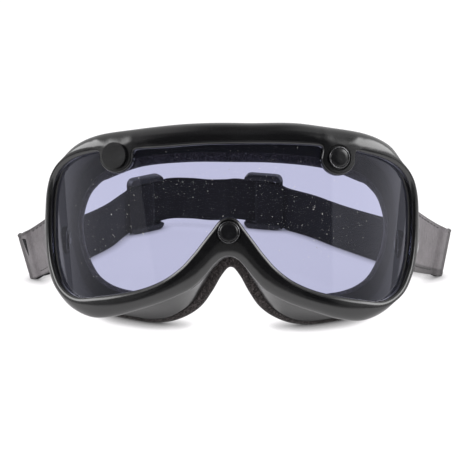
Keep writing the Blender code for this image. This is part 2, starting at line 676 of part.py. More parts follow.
class Side:
    """One side of the strap: its tab, the fold at the tab's outer edge and its slider."""

    def __init__(self, side, word, fold, run, slider, turn, lift):
        self.side = side
        self.word = word
        self.out = Vector((side, 0.0, 0.0))
        self.rivet = leaned(side * boss_face(), RIVET_RISE, rivet_depth(), lift)
        low, high = (Vector((x * STRAP_HALF_WIDTH, y * STRAP_DEPTH, 0.0)) for x, y in fold)
        lean = (high - low) / TAB_WIDTH
        self.fold_up = Vector((lean.x, lean.y, math.sqrt(1 - lean.length_squared)))
        self.fold = low + self.fold_up * TAB_WIDTH / 2 + Vector((0.0, 0.0, GAP))
        self.run = [Vector((x * STRAP_HALF_WIDTH, y * STRAP_DEPTH, 0.0)) for x, y in run]
        self.slider = Vector((slider[0] * STRAP_HALF_WIDTH, slider[1] * STRAP_DEPTH, SLIDER_HEIGHT / 2))
        self.turn = turn
        self.along = Vector((math.cos(turn), math.sin(turn), 0.0))
        self.to_tab = self.along * side
        self.plot_tab()

    def plot_tab(self):
        """Plots the tab's middle line, with its ups and widths."""
        back = Vector((0.0, math.cos(LEAN), -math.sin(LEAN)))
        up = Vector((0.0, math.sin(LEAN), math.cos(LEAN)))
        start = self.rivet + self.out * (GAP + LEATHER + PLY_GAP / 2)
        end_way = ((self.fold - start).normalized() + self.out * TAB_OUTWARD_SHARE).normalized()
        self.path, self.ups, self.widths = [], [], []
        for step in range(TURN_STEPS * 2 + 1):
            angle = math.pi / 2 * step / (TURN_STEPS * 2)
            self.path.append(start - back * TAB_END_RADIUS * math.cos(angle))
            self.ups.append(up)
            self.widths.append(2 * TAB_END_RADIUS * max(math.sin(angle), 0.15))
        leave = start + back * (RIVET_HEAD + TAB_STRAIGHT)
        self.path.append(leave)
        self.ups.append(up)
        self.widths.append(2 * TAB_END_RADIUS)
        for point, turn, t in blend(leave, self.fold, back, end_way, TURN_STEPS * 4):
            grow = min(t * 2.2, 1.0)
            grow = 3 * grow ** 2 - 2 * grow ** 3
            self.path.append(point)
            self.ups.append(up.lerp(self.fold_up, turn).normalized())
            self.widths.append(2 * TAB_END_RADIUS * (1 - grow) + TAB_WIDTH * grow)
        self.way = (end_way - self.fold_up * end_way.dot(self.fold_up)).normalized()
        self.face = normals_of(self.path, self.ups)[-1]
        if self.face.dot(self.out) < 0:
            self.face.negate()

    def ply_shift(self, level):
        """How far the ply at a level, -1 for the backing and 1 for the outer, lies off the
        tab's middle line."""
        facing = normals_of(self.path, self.ups)[0].dot(self.out)
        return level * facing * (LEATHER + PLY_GAP) / 2

    def slit_frame(self, origin):
        """Axes at the middle of the slit: along the tab, up its edge and out."""
        centre = self.fold - self.way * (SLIT_INSET + SLIT_WIDTH / 2)
        axes = Matrix((self.way, self.fold_up, self.face)).transposed().to_4x4()
        return Matrix.Translation(centre - origin) @ axes

    def turn_points(self):
        """The elastic's way round the tab's end strip, from the slit to the fold."""
        half = LEATHER + PLY_GAP / 2
        near = GAP + ELASTIC / 2
        slit = SLIT_WIDTH / 2
        places = [(-SLIT_INSET - slit, -half - near), (-SLIT_INSET - slit, 0.0)]
        for step in range(TURN_STEPS + 1):
            angle = math.pi - math.pi / 2 * step / TURN_STEPS
            across = -SLIT_INSET + near * 0.4 + (slit + near * 0.4) * math.cos(angle)
            places.append((across, half + near * math.sin(angle)))
        for step in range(TURN_STEPS + 1):
            angle = math.pi / 2 - math.pi / 2 * step / TURN_STEPS
            places.append((near * 1.4 * math.cos(angle) - near * 0.4, half + near * (1.0 * math.sin(angle))))
        places.append((near, -half))
        return [self.fold + self.way * a + self.face * b for a, b in places]

    def run_points(self):
        """The run from the fold to the slider's straight stretch, with its ups."""
        upright = Vector((0.0, 0.0, 1.0))
        fold = self.turn_points()[-1]
        rise = self.slider.z - fold.z
        chain = [(*self.turn_points()[-2], *self.fold_up), (*fold, *self.fold_up)]
        total = len(self.run) + 1
        for number, point in enumerate(self.run, 1):
            share = number / total
            chain.append((point.x, point.y, fold.z + rise * share ** 2, *self.fold_up.lerp(upright, share)))
        straight = SEWN_REACH + SLIDER_TRAVEL
        chain.append((*(self.slider + self.to_tab * straight), *upright))
        chain.append((*(self.slider - self.to_tab * straight), *upright))
        steps = [1] + [RUN_STEPS] * total + [1]
        rows = smooth_rows(chain, steps, False)[1:-1]
        return [Vector(row[:3]) for row in rows], [Vector(row[3:]).normalized() for row in rows]

    def leg_points(self):
        """The inner ply, from the slit to its end beside the slider, with its ups."""
        path, ups = self.run_points()
        facing = normals_of(path, ups)
        sign = 1 if facing[-1].y < 0 else -1
        slit = self.turn_points()[0]
        close = ELASTIC + PLY_GAP
        spread = abs((slit - path[0]).dot(facing[0])) - close
        lengths = np.cumsum([0.0] + [(b - a).length for a, b in zip(path, path[1:])])
        reach = lengths[-1]
        offsets = []
        for length in lengths:
            t = min(length / (reach * 3 * LEG_SPREAD_SHARE), 1.0)
            offsets.append(sign * (close + spread * (1 - t) ** 2 * (1 + 2 * t)))
        made = shifted(path, ups, offsets)
        stop = self.slider + self.to_tab * (SLIDER_BAR_WIDTH + SLIDER_TRAVEL + GAP)
        inner = Vector((self.along.y, -self.along.x, 0.0)) * close
        return made[1:] + [stop + inner], ups[1:] + [ups[-1]]


def strap_line(left, right):
    """The whole elastic from the left leg's end to the right leg's end, with its ups."""
    path, ups = [], []
    for side in (left, right):
        leg, leg_ups = side.leg_points()
        turn = side.turn_points()
        run, run_ups = side.run_points()
        line = leg[::-1] + turn[:-1] + run
        stand = leg_ups[::-1] + [side.fold_up] * (len(turn) - 1) + run_ups
        straight = side.slider - side.to_tab * (SEWN_REACH + SLIDER_TRAVEL)
        line.append(straight)
        stand.append(Vector((0.0, 0.0, 1.0)))
        path.append(line)
        ups.append(stand)
    upright = Vector((0.0, 0.0, 1.0))
    back = [Vector((x * STRAP_HALF_WIDTH, y * STRAP_DEPTH, SLIDER_HEIGHT / 2)) for x, y in BACK_RUN_SHARES]
    chain = [path[0][-2], path[0][-1], *back, path[1][-1], path[1][-2]]
    steps = [1] + [RUN_STEPS] * (len(back) + 1) + [1]
    middle = [Vector(p) for p in smooth_rows(chain, steps, False)][2:-2]
    stand = ups[0] + [upright] * len(middle) + ups[1][::-1]
    return path[0] + middle + path[1][::-1], stand


def make_tab(side, leather, metal, origin, strap, frame):
    """One leather tab of two plies, with its rivet and burr."""
    hole_radius = RIVET_RADIUS + POST_CLEARANCE
    turn = Matrix.Rotation(side.side * math.pi / 2, 4, "Y")
    for word, level in (("tab_backing", -1), ("tab_outer", 1)):
        name = f"{side.word}_{word}"
        shift = side.ply_shift(level)
        bm = ribbon(side.path, side.ups, side.widths, LEATHER, origin, shift, TAB_LANE_STEPS)
        ply = finish(name, bm, leather, strap)
        hole = turned([(0.0, -CUT_OVERRUN), (hole_radius, -CUT_OVERRUN),
                       (hole_radius, 3 * CUT_OVERRUN), (0.0, 3 * CUT_OVERRUN)])
        place_it = Matrix.Translation(side.rivet - origin) @ turn
        combine(ply, finish(name + "_hole_form", hole, None, strap, place_it), "DIFFERENCE")
        size = (SLIT_WIDTH, STRAP_WIDTH + 4 * POST_CLEARANCE, 4 * CUT_OVERRUN)
        slit = box_form(name + "_slit_form", size, strap, side.slit_frame(origin))
        combine(ply, slit, "DIFFERENCE")
    head = GAP + 2 * LEATHER + PLY_GAP + FIT
    inner = -seat_depth() - BURR_THICKNESS - 2 * FIT
    dome = [(share * RIVET_HEAD, head + RIVET_HEAD_RISE * height) for share, height in DOME_SHARES]
    dome += [(RIVET_HEAD, head), (RIVET_RADIUS, head), (RIVET_RADIUS, inner), (0.0, inner)]
    finish(side.word + "_rivet", turned(dome), metal, frame, side_frame(side.side))
    top = -seat_depth() - FIT
    low = top - BURR_THICKNESS
    hole = RIVET_RADIUS + FIT
    burr = [(hole, top), (BURR_RADIUS, top), (BURR_RADIUS, low), (hole, low)]
    finish(side.word + "_rivet_burr", turned(burr), metal, frame, side_frame(side.side))


def box_form(name, size, parent, frame, dress=None):
    """A block centred on its frame."""
    bm = bmesh.new()
    bmesh.ops.create_cube(bm, size=1.0)
    bmesh.ops.scale(bm, vec=size, verts=bm.verts)
    return finish(name, bm, dress, parent, frame)


def rounded_outline(length, height, radius, y):
    """A rounded rectangle at y, as points across and up."""
    made = []
    for corner in range(4):
        across = (length / 2 - radius) * (1 if corner in (0, 3) else -1)
        rise = (height / 2 - radius) * (1 if corner in (0, 1) else -1)
        for step in range(TURN_STEPS + 1):
            angle = math.pi / 2 * (corner + step / TURN_STEPS)
            made.append(Vector((across + radius * math.cos(angle), y, rise + radius * math.sin(angle))))
    return made


def make_slider(side, dress, parent):
    """One slider: rails and end bars outside the band, a middle bar inside it."""
    near = ELASTIC / 2 + PLY_GAP
    bar_near = near + ELASTIC + PLY_GAP
    bar_far = bar_near + SLIDER_BAR
    outer = near + SLIDER_BAR
    rows = []
    for y, inset in ((-bar_far, SLIDER_EDGE), (-bar_far + SLIDER_EDGE, 0.0), (outer - SLIDER_EDGE, 0.0), (outer, SLIDER_EDGE)):
        size = (SLIDER_LENGTH - 2 * inset, SLIDER_HEIGHT - 2 * inset)
        rows.append(rounded_outline(*size, SLIDER_ROUND - inset, y))
    name = side.word + "_slider"
    slider = finish(name, skin(rows, False), dress, parent)
    window = STRAP_WIDTH + 4 * POST_CLEARANCE
    deep = 4 * SLIDER_BAR
    channel = (2 * SLIDER_LENGTH, deep + near + bar_far, window)
    shift = Matrix.Translation((0.0, near - channel[1] / 2, 0.0))
    combine(slider, box_form(name + "_channel_form", channel, parent, shift), "DIFFERENCE")
    opening = (SLIDER_LENGTH - 2 * SLIDER_END_BAR, 2 * deep, window)
    combine(slider, box_form(name + "_window_form", opening, parent, Matrix()), "DIFFERENCE")
    bar = (SLIDER_BAR_WIDTH, SLIDER_BAR, window + SLIDER_EDGE * 4)
    shift = Matrix.Translation((0.0, -(bar_near + bar_far) / 2, 0.0))
    combine(slider, box_form(name + "_bar_form", bar, parent, shift), "UNION")
    return slider


def make_sewn_end(side, dress, parent):
    """The elastic's end, round the slider's middle bar and back over the leg."""
    near = ELASTIC + PLY_GAP
    middle = near + ELASTIC / 2 + PLY_GAP + SLIDER_BAR / 2
    far = 2 * middle - near
    over = 2 * near
    half = SLIDER_BAR_WIDTH / 2
    spots = [(SEWN_REACH, over), (half + 4 * ELASTIC, over), (half + 2.6 * ELASTIC, (over + far) / 2),
             (half + 1.2 * ELASTIC, far), (0.0, far)]
    radius = (far - near) / 2
    for step in range(2 * TURN_STEPS + 1):
        angle = math.pi / 2 + math.pi * step / (2 * TURN_STEPS)
        spots.append((-half + radius * math.cos(angle), middle + radius * math.sin(angle)))
    spots.append((half + 1.2 * ELASTIC, near))
    path = [Vector((side.side * s, -m, 0.0)) for s, m in spots]
    ups = [Vector((0.0, 0.0, 1.0))] * len(path)
    bm = ribbon(path, ups, [STRAP_WIDTH] * len(path), ELASTIC, Vector())
    return finish(side.word + "_sewn_end", bm, dress, parent)


def settle(holders):
    """Moves everything so that the origin is on the floor under the middle of the box."""
    bpy.context.view_layer.update()
    points = [made.matrix_world @ vert.co for made in bpy.data.objects
              if made.type == "MESH" and not made.hide_render for vert in made.data.vertices]
    low = Vector([min(point[k] for point in points) for k in range(3)])
    high = Vector([max(point[k] for point in points) for k in range(3)])
    shift = Vector(((low.x + high.x) / 2, (low.y + high.y) / 2, 0.0))
    for holder in holders:
        holder.location -= shift
    bpy.context.view_layer.update()


def main():
    clear_scene()
    rubber = material("moulded_rubber", (0.018, 0.018, 0.020), 0.30)
    foam = material("knit_lining", (0.055, 0.048, 0.045), 0.95)
    smoke = material("smoke_lens", (0.35, 0.37, 0.45), 0.05, alpha=0.35)
    cap_black = material("cap_black", (0.030, 0.030, 0.035), 0.25)
    steel = material("snap_steel", (0.55, 0.55, 0.57), 0.30, metallic=1.0)
    leather = material("tab_leather", (0.20, 0.19, 0.195), 0.55)
    elastic = material("strap_elastic", (0.035, 0.035, 0.040), 0.80)
    plastic = material("slider_plastic", (0.030, 0.030, 0.034), 0.40)
    ring = stations()
    lift = stand_height(ring)
    frame = empty("frame_axes", None, (0.0, 0.0, lift), (-LEAN, 0.0, 0.0))
    make_frame(ring, rubber, frame)
    make_lining(ring, foam, frame)
    make_lens(ring, smoke, frame)
    make_snaps(steel, cap_black, frame)
    left = Side(-1, "left", LEFT_FOLD_SHARES, LEFT_RUN_SHARES, LEFT_SLIDER_SHARES, LEFT_SLIDER_TURN, lift)
    right = Side(1, "right", RIGHT_FOLD_SHARES, RIGHT_RUN_SHARES, RIGHT_SLIDER_SHARES, RIGHT_SLIDER_TURN, lift)
    axis = Vector((0.0, left.rivet.y, left.rivet.z))
    strap = empty("strap_axis", None, axis)
    holders = [frame, strap]
    for side in (left, right):
        make_tab(side, leather, steel, axis, strap, frame)
        holder = empty(side.word + "_slider_axes", None, side.slider, (0.0, 0.0, side.turn))
        holders.append(holder)
        make_slider(side, plastic, holder)
        make_sewn_end(side, elastic, holder)
    path, ups = strap_line(left, right)
    bm = ribbon(path, ups, [STRAP_WIDTH] * len(path), ELASTIC, axis, lanes=STRAP_LANE_STEPS)
    finish("elastic_strap", bm, elastic, strap)
    settle(holders)


main()
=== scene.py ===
"""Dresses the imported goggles: a moulded black frame round a smoke lens, a knit face
lining, three snaps, two leather side tabs and an elastic head strap with two sliders.

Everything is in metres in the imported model's own frame. The front is built upright,
with x across, u up the face and w back from the front, and then leans back on its lining.
"""

import logging
import math
import random
from dataclasses import dataclass, field
from enum import Enum
from typing import Callable, Iterable, Optional, Sequence, Union

import bmesh
import bpy
import numpy as np
from mathutils import Matrix, Vector


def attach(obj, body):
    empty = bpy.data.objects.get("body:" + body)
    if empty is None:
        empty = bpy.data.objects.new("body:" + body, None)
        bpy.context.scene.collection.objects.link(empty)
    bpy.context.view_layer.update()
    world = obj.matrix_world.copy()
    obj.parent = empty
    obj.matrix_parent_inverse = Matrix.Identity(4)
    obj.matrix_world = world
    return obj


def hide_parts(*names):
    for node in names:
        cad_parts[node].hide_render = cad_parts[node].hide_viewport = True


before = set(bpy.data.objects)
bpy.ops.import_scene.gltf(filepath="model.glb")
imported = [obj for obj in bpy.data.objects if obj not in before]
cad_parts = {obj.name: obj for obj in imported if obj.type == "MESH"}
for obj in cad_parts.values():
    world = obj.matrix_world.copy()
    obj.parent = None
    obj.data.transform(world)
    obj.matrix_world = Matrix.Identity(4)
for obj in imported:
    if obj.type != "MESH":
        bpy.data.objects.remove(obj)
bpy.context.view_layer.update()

LOG = logging.getLogger("goggles")
REFERENCE = Vector((-0.0004914, -0.0827858, 0.0596985))
LEAN = math.radians(20.0)
STAND = Matrix.Translation(REFERENCE) @ Matrix.Rotation(-LEAN, 4, "X")
UPRIGHT = Vector((0.0, 0.0, 1.0))
MERGE = 1e-7


# ---------------------------------------------------------------- shader boards


Value = Union["Wire", float, tuple]


class Wire:
    """A socket in a shader board. Its operators add Math nodes."""

    def __init__(self, board: "Board", socket: bpy.types.NodeSocket) -> None:
        """Wraps a socket.

        Args:
            board: The board the socket is on.
            socket: The output socket.
        """
        self.board = board
        self.socket = socket

    def _sum(self, operation: str, *values: Value, clamp: bool = False) -> "Wire":
        """Adds one Math node.

        Args:
            operation: The node's operation.
            values: Its inputs in order.
            clamp: Whether the result stays from 0 to 1.

        Returns:
            The result.
        """
        settings = {"operation": operation, "use_clamp": clamp}
        return self.board.node("ShaderNodeMath", settings, dict(enumerate(values)))

    def __add__(self, other: Value) -> "Wire":
        """This plus another."""
        return self._sum("ADD", self, other)

    __radd__ = __add__

    def __sub__(self, other: Value) -> "Wire":
        """This less another."""
        return self._sum("SUBTRACT", self, other)

    def __rsub__(self, other: Value) -> "Wire":
        """Another less this."""
        return self._sum("SUBTRACT", other, self)

    def __mul__(self, other: Value) -> "Wire":
        """This times another."""
        return self._sum("MULTIPLY", self, other)

    __rmul__ = __mul__

    def __truediv__(self, other: Value) -> "Wire":
        """This over another."""
        return self._sum("DIVIDE", self, other)

    def __pow__(self, other: Value) -> "Wire":
        """This to a power."""
        return self._sum("POWER", self, other)

    def __abs__(self) -> "Wire":
        """The size of this."""
        return self._sum("ABSOLUTE", self)

    def above(self, low: float, high: float) -> "Wire":
        """A soft step from 0 to 1.

        Args:
            low: Where the step starts.
            high: Where it ends. Lower than low turns the step round.

        Returns:
            The step.
        """
        settings = {"interpolation_type": "SMOOTHSTEP", "clamp": True}
        return self.board.node(
            "ShaderNodeMapRange", settings,
            {"Value": self, "From Min": low, "From Max": high},
        )

    def wave(self, pitch: float) -> "Wire":
        """A sine of this, from 0 to 1.

        Args:
            pitch: The length of one wave.

        Returns:
            The wave.
        """
        return self._sum("SINE", self * (math.tau / pitch)) * 0.5 + 0.5

    def most(self, other: Value) -> "Wire":
        """The larger of two."""
        return self._sum("MAXIMUM", self, other)

    def least(self, other: Value) -> "Wire":
        """The smaller of two."""
        return self._sum("MINIMUM", self, other)


class Board:
    """The node tree of one material or world."""

    def __init__(self, tree: bpy.types.NodeTree) -> None:
        """Clears the tree.

        Args:
            tree: The tree to work on.
        """
        self.tree = tree
        tree.nodes.clear()

    def node(
        self,
        kind: str,
        settings: Optional[dict] = None,
        inputs: Optional[dict] = None,
        output: Union[int, str] = 0,
    ) -> Wire:
        """Adds a node.

        Args:
            kind: The node's type.
            settings: Its own settings, set before its sockets.
            inputs: Socket names or numbers, with values or wires.
            output: The output that is returned.

        Returns:
            The output.
        """
        made = self.tree.nodes.new(kind)
        for name, value in (settings or {}).items():
            setattr(made, name, value)
        for name, value in (inputs or {}).items():
            socket = made.inputs[name]
            if isinstance(value, Wire):
                self.tree.links.new(value.socket, socket)
            else:
                socket.default_value = value
        return Wire(self, made.outputs[output])

    def blend(self, low: Value, high: Value, share: Value) -> Wire:
        """Mixes two colours.

        Args:
            low: The colour at share 0.
            high: The colour at share 1.
            share: The mix.

        Returns:
            The mixed colour.
        """
        return self.node(
            "ShaderNodeMix", {"data_type": "RGBA"},
            {"Factor": share, 6: tint(low), 7: tint(high)}, 2,
        )

    def noise(self, place: Wire, scale: float, detail: float = 2.0, rough: float = 0.5) -> Wire:
        """A noise value round 0.5 at a place."""
        return self.node(
            "ShaderNodeTexNoise", {},
            {"Vector": place, "Scale": scale, "Detail": detail, "Roughness": rough},
        )

    def cells(self, place: Wire, scale: float, feature: str = "F1") -> Wire:
        """The distance to the nearest cell point or edge at a place."""
        return self.node(
            "ShaderNodeTexVoronoi", {"feature": feature}, {"Vector": place, "Scale": scale}
        )

    def place(self) -> Wire:
        """The place on the object, in metres."""
        return self.node("ShaderNodeTexCoord", output="Object")

    def stretch(self, place: Wire, size: tuple) -> Wire:
        """A place with its axes scaled."""
        return self.node("ShaderNodeMapping", {}, {"Vector": place, "Scale": size})

    def split(self, place: Wire) -> tuple:
        """The three parts of a vector."""
        first = self.node("ShaderNodeSeparateXYZ", {}, {0: place}, 0)
        outputs = first.socket.node.outputs
        return first, Wire(self, outputs[1]), Wire(self, outputs[2])

    def bump(self, height: Value, depth: float, strength: float = 1.0, under: Optional[Wire] = None) -> Wire:
        """A Bump node.

        Args:
            height: The height, in shares of the depth.
            depth: The depth in metres.
            strength: How strongly it shows.
            under: A bump below this one.

        Returns:
            The normal.
        """
        inputs = {"Height": height, "Distance": depth, "Strength": strength}
        if under is not None:
            inputs["Normal"] = under
        return self.node("ShaderNodeBump", {}, inputs)

    def principled(self, **sockets: Value) -> Wire:
        """A Principled shader, its sockets named with underscores for spaces."""
        inputs = {name.replace("_", " "): tint(value) for name, value in sockets.items()}
        return self.node("ShaderNodeBsdfPrincipled", {}, inputs)

    def surface(self, shader: Wire) -> None:
        """Gives the material its shader."""
        self.node_out("ShaderNodeOutputMaterial", shader)

    def node_out(self, kind: str, shader: Wire) -> None:
        """Adds an output node and links the shader to it."""
        out = self.tree.nodes.new(kind)
        self.tree.links.new(shader.socket, out.inputs["Surface"])


def tint(value: Value) -> Value:
    """A colour of three parts as one of four, and anything else as it is."""
    if isinstance(value, tuple) and len(value) == 3:
        return (*value, 1.0)
    return value


# ---------------------------------------------------------------- finishes


class Slot(Enum):
    """Names of material slots."""

    RUBBER = "moulded_rubber"
    LINING = "knit_lining"
    LENS = "smoke_lens"
    CAP = "cap_black"
    STEEL = "snap_steel"
    LEATHER = "tab_leather"
    ELASTIC = "strap_elastic"
    PLASTIC = "slider_plastic"


@dataclass(frozen=True)
class Finish:
    """A material that is made once and shared by its pieces."""

    name: str

    def dress(self, board: Board) -> None:
        """Builds the nodes."""
        raise NotImplementedError

    def material(self) -> bpy.types.Material:
        """The finished material."""
        found = bpy.data.materials.get(self.name)
        if found is None:
            found = bpy.data.materials.new(self.name)
            found.use_nodes = True
            self.dress(Board(found.node_tree))
        return found


@dataclass(frozen=True)
class MouldedRubber(Finish):
    """Black moulded rubber, smooth with a soft gloss, faint marks and dust."""

    name: str = "moulded black rubber"
    colour: tuple = (0.0040, 0.0040, 0.0046)
    dusty: tuple = (0.012, 0.012, 0.013)
    gloss: float = 0.15
    bend: float = 1.70

    def dress(self, board: Board) -> None:
        """Builds the nodes."""
        place = board.place()
        smears = board.noise(board.stretch(place, (1.0, 1.0, 2.6)), 38.0, 3.0, 0.55)
        fine = board.noise(place, 900.0, 2.0)
        marks = board.noise(place, 160.0, 4.0, 0.65).above(0.60, 0.74)
        colour = board.blend(self.colour, self.dusty, smears.above(0.45, 0.75) * 0.35 + marks * 0.25)
        rough = self.gloss + smears.above(0.35, 0.75) * 0.06 + marks * 0.06
        normal = board.bump(fine, 0.00003, 0.5, board.bump(smears, 0.00035, 0.35))
        board.surface(board.principled(
            Base_Color=colour, Roughness=rough, Normal=normal, IOR=self.bend,
        ))


@dataclass(frozen=True)
class KnitFabric(Finish):
    """A dark brushed knit over foam, with pale flecks and lint."""

    name: str = "brushed knit"
    deep: tuple = (0.012, 0.011, 0.011)
    high: tuple = (0.150, 0.128, 0.128)
    fleck: tuple = (0.62, 0.58, 0.58)

    def dress(self, board: Board) -> None:
        """Builds the nodes."""
        place = board.place()
        loops = board.cells(place, 1500.0)
        tufts = board.noise(place, 700.0, 4.0, 0.7)
        patch = board.noise(place, 130.0, 3.0)
        flecks = board.noise(place, 1900.0, 1.0).above(0.68, 0.74) * patch.above(0.42, 0.62)
        body = board.blend(self.deep, self.high, (tufts * 0.7 + loops * 0.5).above(0.35, 0.95))
        colour = board.blend(body, self.fleck, flecks * 0.8)
        normal = board.bump(tufts * 0.6 + loops * 0.6, 0.0005, 0.9)
        board.surface(board.principled(
            Base_Color=colour, Roughness=0.95, Normal=normal,
            Sheen_Weight=0.35, Sheen_Roughness=0.5, Specular_IOR_Level=0.2,
        ))


@dataclass(frozen=True)
class SmokeSheet(Finish):
    """A clear smoke-grey sheet that lets light through and mirrors what is beside it."""

    name: str = "smoke sheet"
    colour: tuple = (0.698, 0.709, 0.822)
    haze: tuple = (0.62, 0.63, 0.68)

    def dress(self, board: Board) -> None:
        """Builds the nodes."""
        place = board.place()
        clear = board.node("ShaderNodeBsdfTransparent", {}, {"Color": tint(self.colour)})
        gloss = board.node(
            "ShaderNodeBsdfGlossy", {}, {"Color": tint((0.88, 0.88, 1.0)), "Roughness": 0.03}
        )
        back = board.node("ShaderNodeNewGeometry", output="Backfacing")
        mirror = (board.node("ShaderNodeFresnel", {}, {"IOR": 1.50}) * (1.0 - back) * 1.9).least(1.0)
        smear = board.noise(board.stretch(place, (1.0, 1.0, 0.5)), 60.0, 4.0, 0.6).above(0.5, 0.8)
        coated = board.node("ShaderNodeMixShader", {}, {0: mirror, 1: clear, 2: gloss})
        film = board.node("ShaderNodeBsdfDiffuse", {}, {"Color": tint(self.haze)})
        dusty = board.node(
            "ShaderNodeMixShader", {}, {0: smear * 0.006 + 0.004, 1: coated, 2: film}
        )
        board.surface(dusty)


@dataclass(frozen=True)
class PlainGloss(Finish):
    """A hard moulded or painted surface with fine marks."""

    name: str = "black enamel"
    colour: tuple = (0.006, 0.006, 0.007)
    gloss: float = 0.16
    metal: float = 0.0

    def dress(self, board: Board) -> None:
        """Builds the nodes."""
        place = board.place()
        wear = board.noise(place, 420.0, 4.0, 0.7)
        worn = tuple(min(part * 1.7 + 0.004, 1.0) for part in self.colour)
        board.surface(board.principled(
            Base_Color=board.blend(self.colour, worn, wear.above(0.5, 0.8)),
            Roughness=self.gloss + wear.above(0.4, 0.8) * 0.12,
            Metallic=self.metal,
            Normal=board.bump(wear, 0.00004, 0.5),
        ))


@dataclass(frozen=True)
class TabLeather(Finish):
    """Black leather painted grey in its base colour as a sheen, with pebbled grain and long creases, and painted shade
    at its fold and along its edges.
    """

    name: str = "grained leather"
    # deep and high are black leather lightened to grey: the leather's sheen painted into its base colour.
    deep: tuple = (0.120, 0.110, 0.116)
    high: tuple = (0.270, 0.250, 0.262)
    # dark is the colour of the painted shade at the tab's fold end and along its edges.
    dark: tuple = (0.045, 0.042, 0.043)

    def dress(self, board: Board) -> None:
        """Builds the nodes."""
        place = board.place()
        pebbles = board.cells(place, 1500.0, "DISTANCE_TO_EDGE").above(0.0, 0.35)
        streaks = board.noise(board.stretch(place, (6.0, 6.0, 1.0)), 260.0, 4.0, 0.75)
        cloud = board.noise(place, 70.0, 3.0)
        grain = pebbles * 0.25 + streaks * 1.0
        along, across, _ = board.split(board.node("ShaderNodeTexCoord", output="UV"))
        # Painted shade: the fold end and the two long edges of the tab are blended towards dark.
        fold = along.above(-0.47, -0.40)
        rim = abs(across - 1.37).above(1.22, 1.36)
        colour = board.blend(self.deep, self.high, (grain * 0.6 + cloud * 0.5).above(0.25, 0.95))
        colour = board.blend(colour, self.dark, fold * 0.6)
        colour = board.blend(colour, self.dark, rim * 0.7)
        board.surface(board.principled(
            Base_Color=colour,
            Roughness=0.50 + (1.0 - pebbles) * 0.10 + cloud * 0.12,
            Normal=board.bump(grain, 0.00014, 0.8),
        ))


@dataclass(frozen=True)
class WovenElastic(Finish):
    """Ribbed elastic webbing, woven on the piece's own map in centimetres."""

    name: str = "woven elastic"
    deep: tuple = (0.003, 0.003, 0.004)
    high: tuple = (0.016, 0.016, 0.019)
    rib: float = 0.10
    pick: float = 0.055

    def dress(self, board: Board) -> None:
        """Builds the nodes."""
        weave = board.node("ShaderNodeTexCoord", output="UV")
        along, across, _ = board.split(weave)
        ribs = across.wave(self.rib)
        picks = along.wave(self.pick)
        thread = ribs * (picks * 0.5 + 0.5)
        fuzz = board.noise(board.place(), 1400.0, 3.0, 0.7)
        height = thread * 0.8 + fuzz * 0.3
        colour = board.blend(self.deep, self.high, height.above(0.1, 1.0))
        board.surface(board.principled(
            Base_Color=colour, Roughness=0.82,
            Normal=board.bump(height, 0.00022, 0.9),
            Sheen_Weight=0.04, Sheen_Roughness=0.5, Specular_IOR_Level=0.25,
        ))


@dataclass(frozen=True)
class Lint(Finish):
    """Pale dust and lint."""

    name: str = "pale lint"
    colour: tuple = (0.75, 0.74, 0.72)

    def dress(self, board: Board) -> None:
        """Builds the nodes."""
        cloud = board.noise(board.place(), 260.0, 1.0)
        dim = tuple(part * 0.45 for part in self.colour)
        board.surface(board.principled(
            Base_Color=board.blend(dim, self.colour, cloud.above(0.3, 0.7)), Roughness=0.9,
        ))


@dataclass(frozen=True)
class StudioFloor(Finish):
    """The white sweep the goggles stand on, faintly glossy. Its glow is painted darker close under the goggles as a
    contact shadow, and in reflections it is painted dark in front of them and far off as shade.
    """

    name: str = "white sweep"
    colour: tuple = (0.93, 0.925, 0.93)
    lifted: tuple = (1.30, 1.28, 1.30)
    glow: float = 0.92
    # How far the painted contact shadow reaches.
    painted_shadow_reach: float = 0.006

    def dress(self, board: Board) -> None:
        """Builds the nodes."""
        rays = board.node("ShaderNodeLightPath")
        outputs = rays.socket.node.outputs
        seen = Wire(board, outputs["Is Camera Ray"]).most(Wire(board, outputs["Is Transmission Ray"]))
        glossy = Wire(board, outputs["Is Glossy Ray"])
        spot = board.place()
        reach = board.node("ShaderNodeVectorMath", {"operation": "LENGTH"}, {0: spot}, 1)
        # Painted shade in reflections: glossy rays see the floor in front of the goggles and far from them with little
        # glow, and near them the glow is cut to 0.55.
        close = reach.above(0.62, 0.46) * board.split(spot)[1].above(-0.19, -0.13) * 0.92 + 0.08
        shown = seen.most(glossy * close * 0.55)
        # Painted contact shadow: ambient occlusion within a few millimetres darkens the floor's glow close under the
        # goggles.
        painted_contact_shadow = board.node("ShaderNodeAmbientOcclusion", {"samples": 12}, {"Distance": self.painted_shadow_reach}, 1)
        light = board.node("ShaderNodeEmission", {}, {"Color": tint((1.0, 0.985, 1.0)), "Strength": painted_contact_shadow * 1.12})
        plain = board.blend(self.colour, self.lifted, seen)
        # For glossy rays the floor's colour falls to a painted dark grey (0.06) away from the goggles.
        paint = board.node("ShaderNodeBsdfDiffuse", {}, {"Color": board.blend((0.06, 0.06, 0.06), plain, 1.0 - glossy * (1.0 - close))})
        lit = board.node("ShaderNodeMixShader", {}, {0: shown * self.glow, 1: paint, 2: light})
        gloss = board.node("ShaderNodeBsdfGlossy", {}, {"Color": tint((1.0, 1.0, 1.0)), "Roughness": 0.08})
        mirror = board.node("ShaderNodeFresnel", {}, {"IOR": 1.30}) * 0.3
        board.surface(board.node("ShaderNodeMixShader", {}, {0: mirror, 1: lit, 2: gloss}))


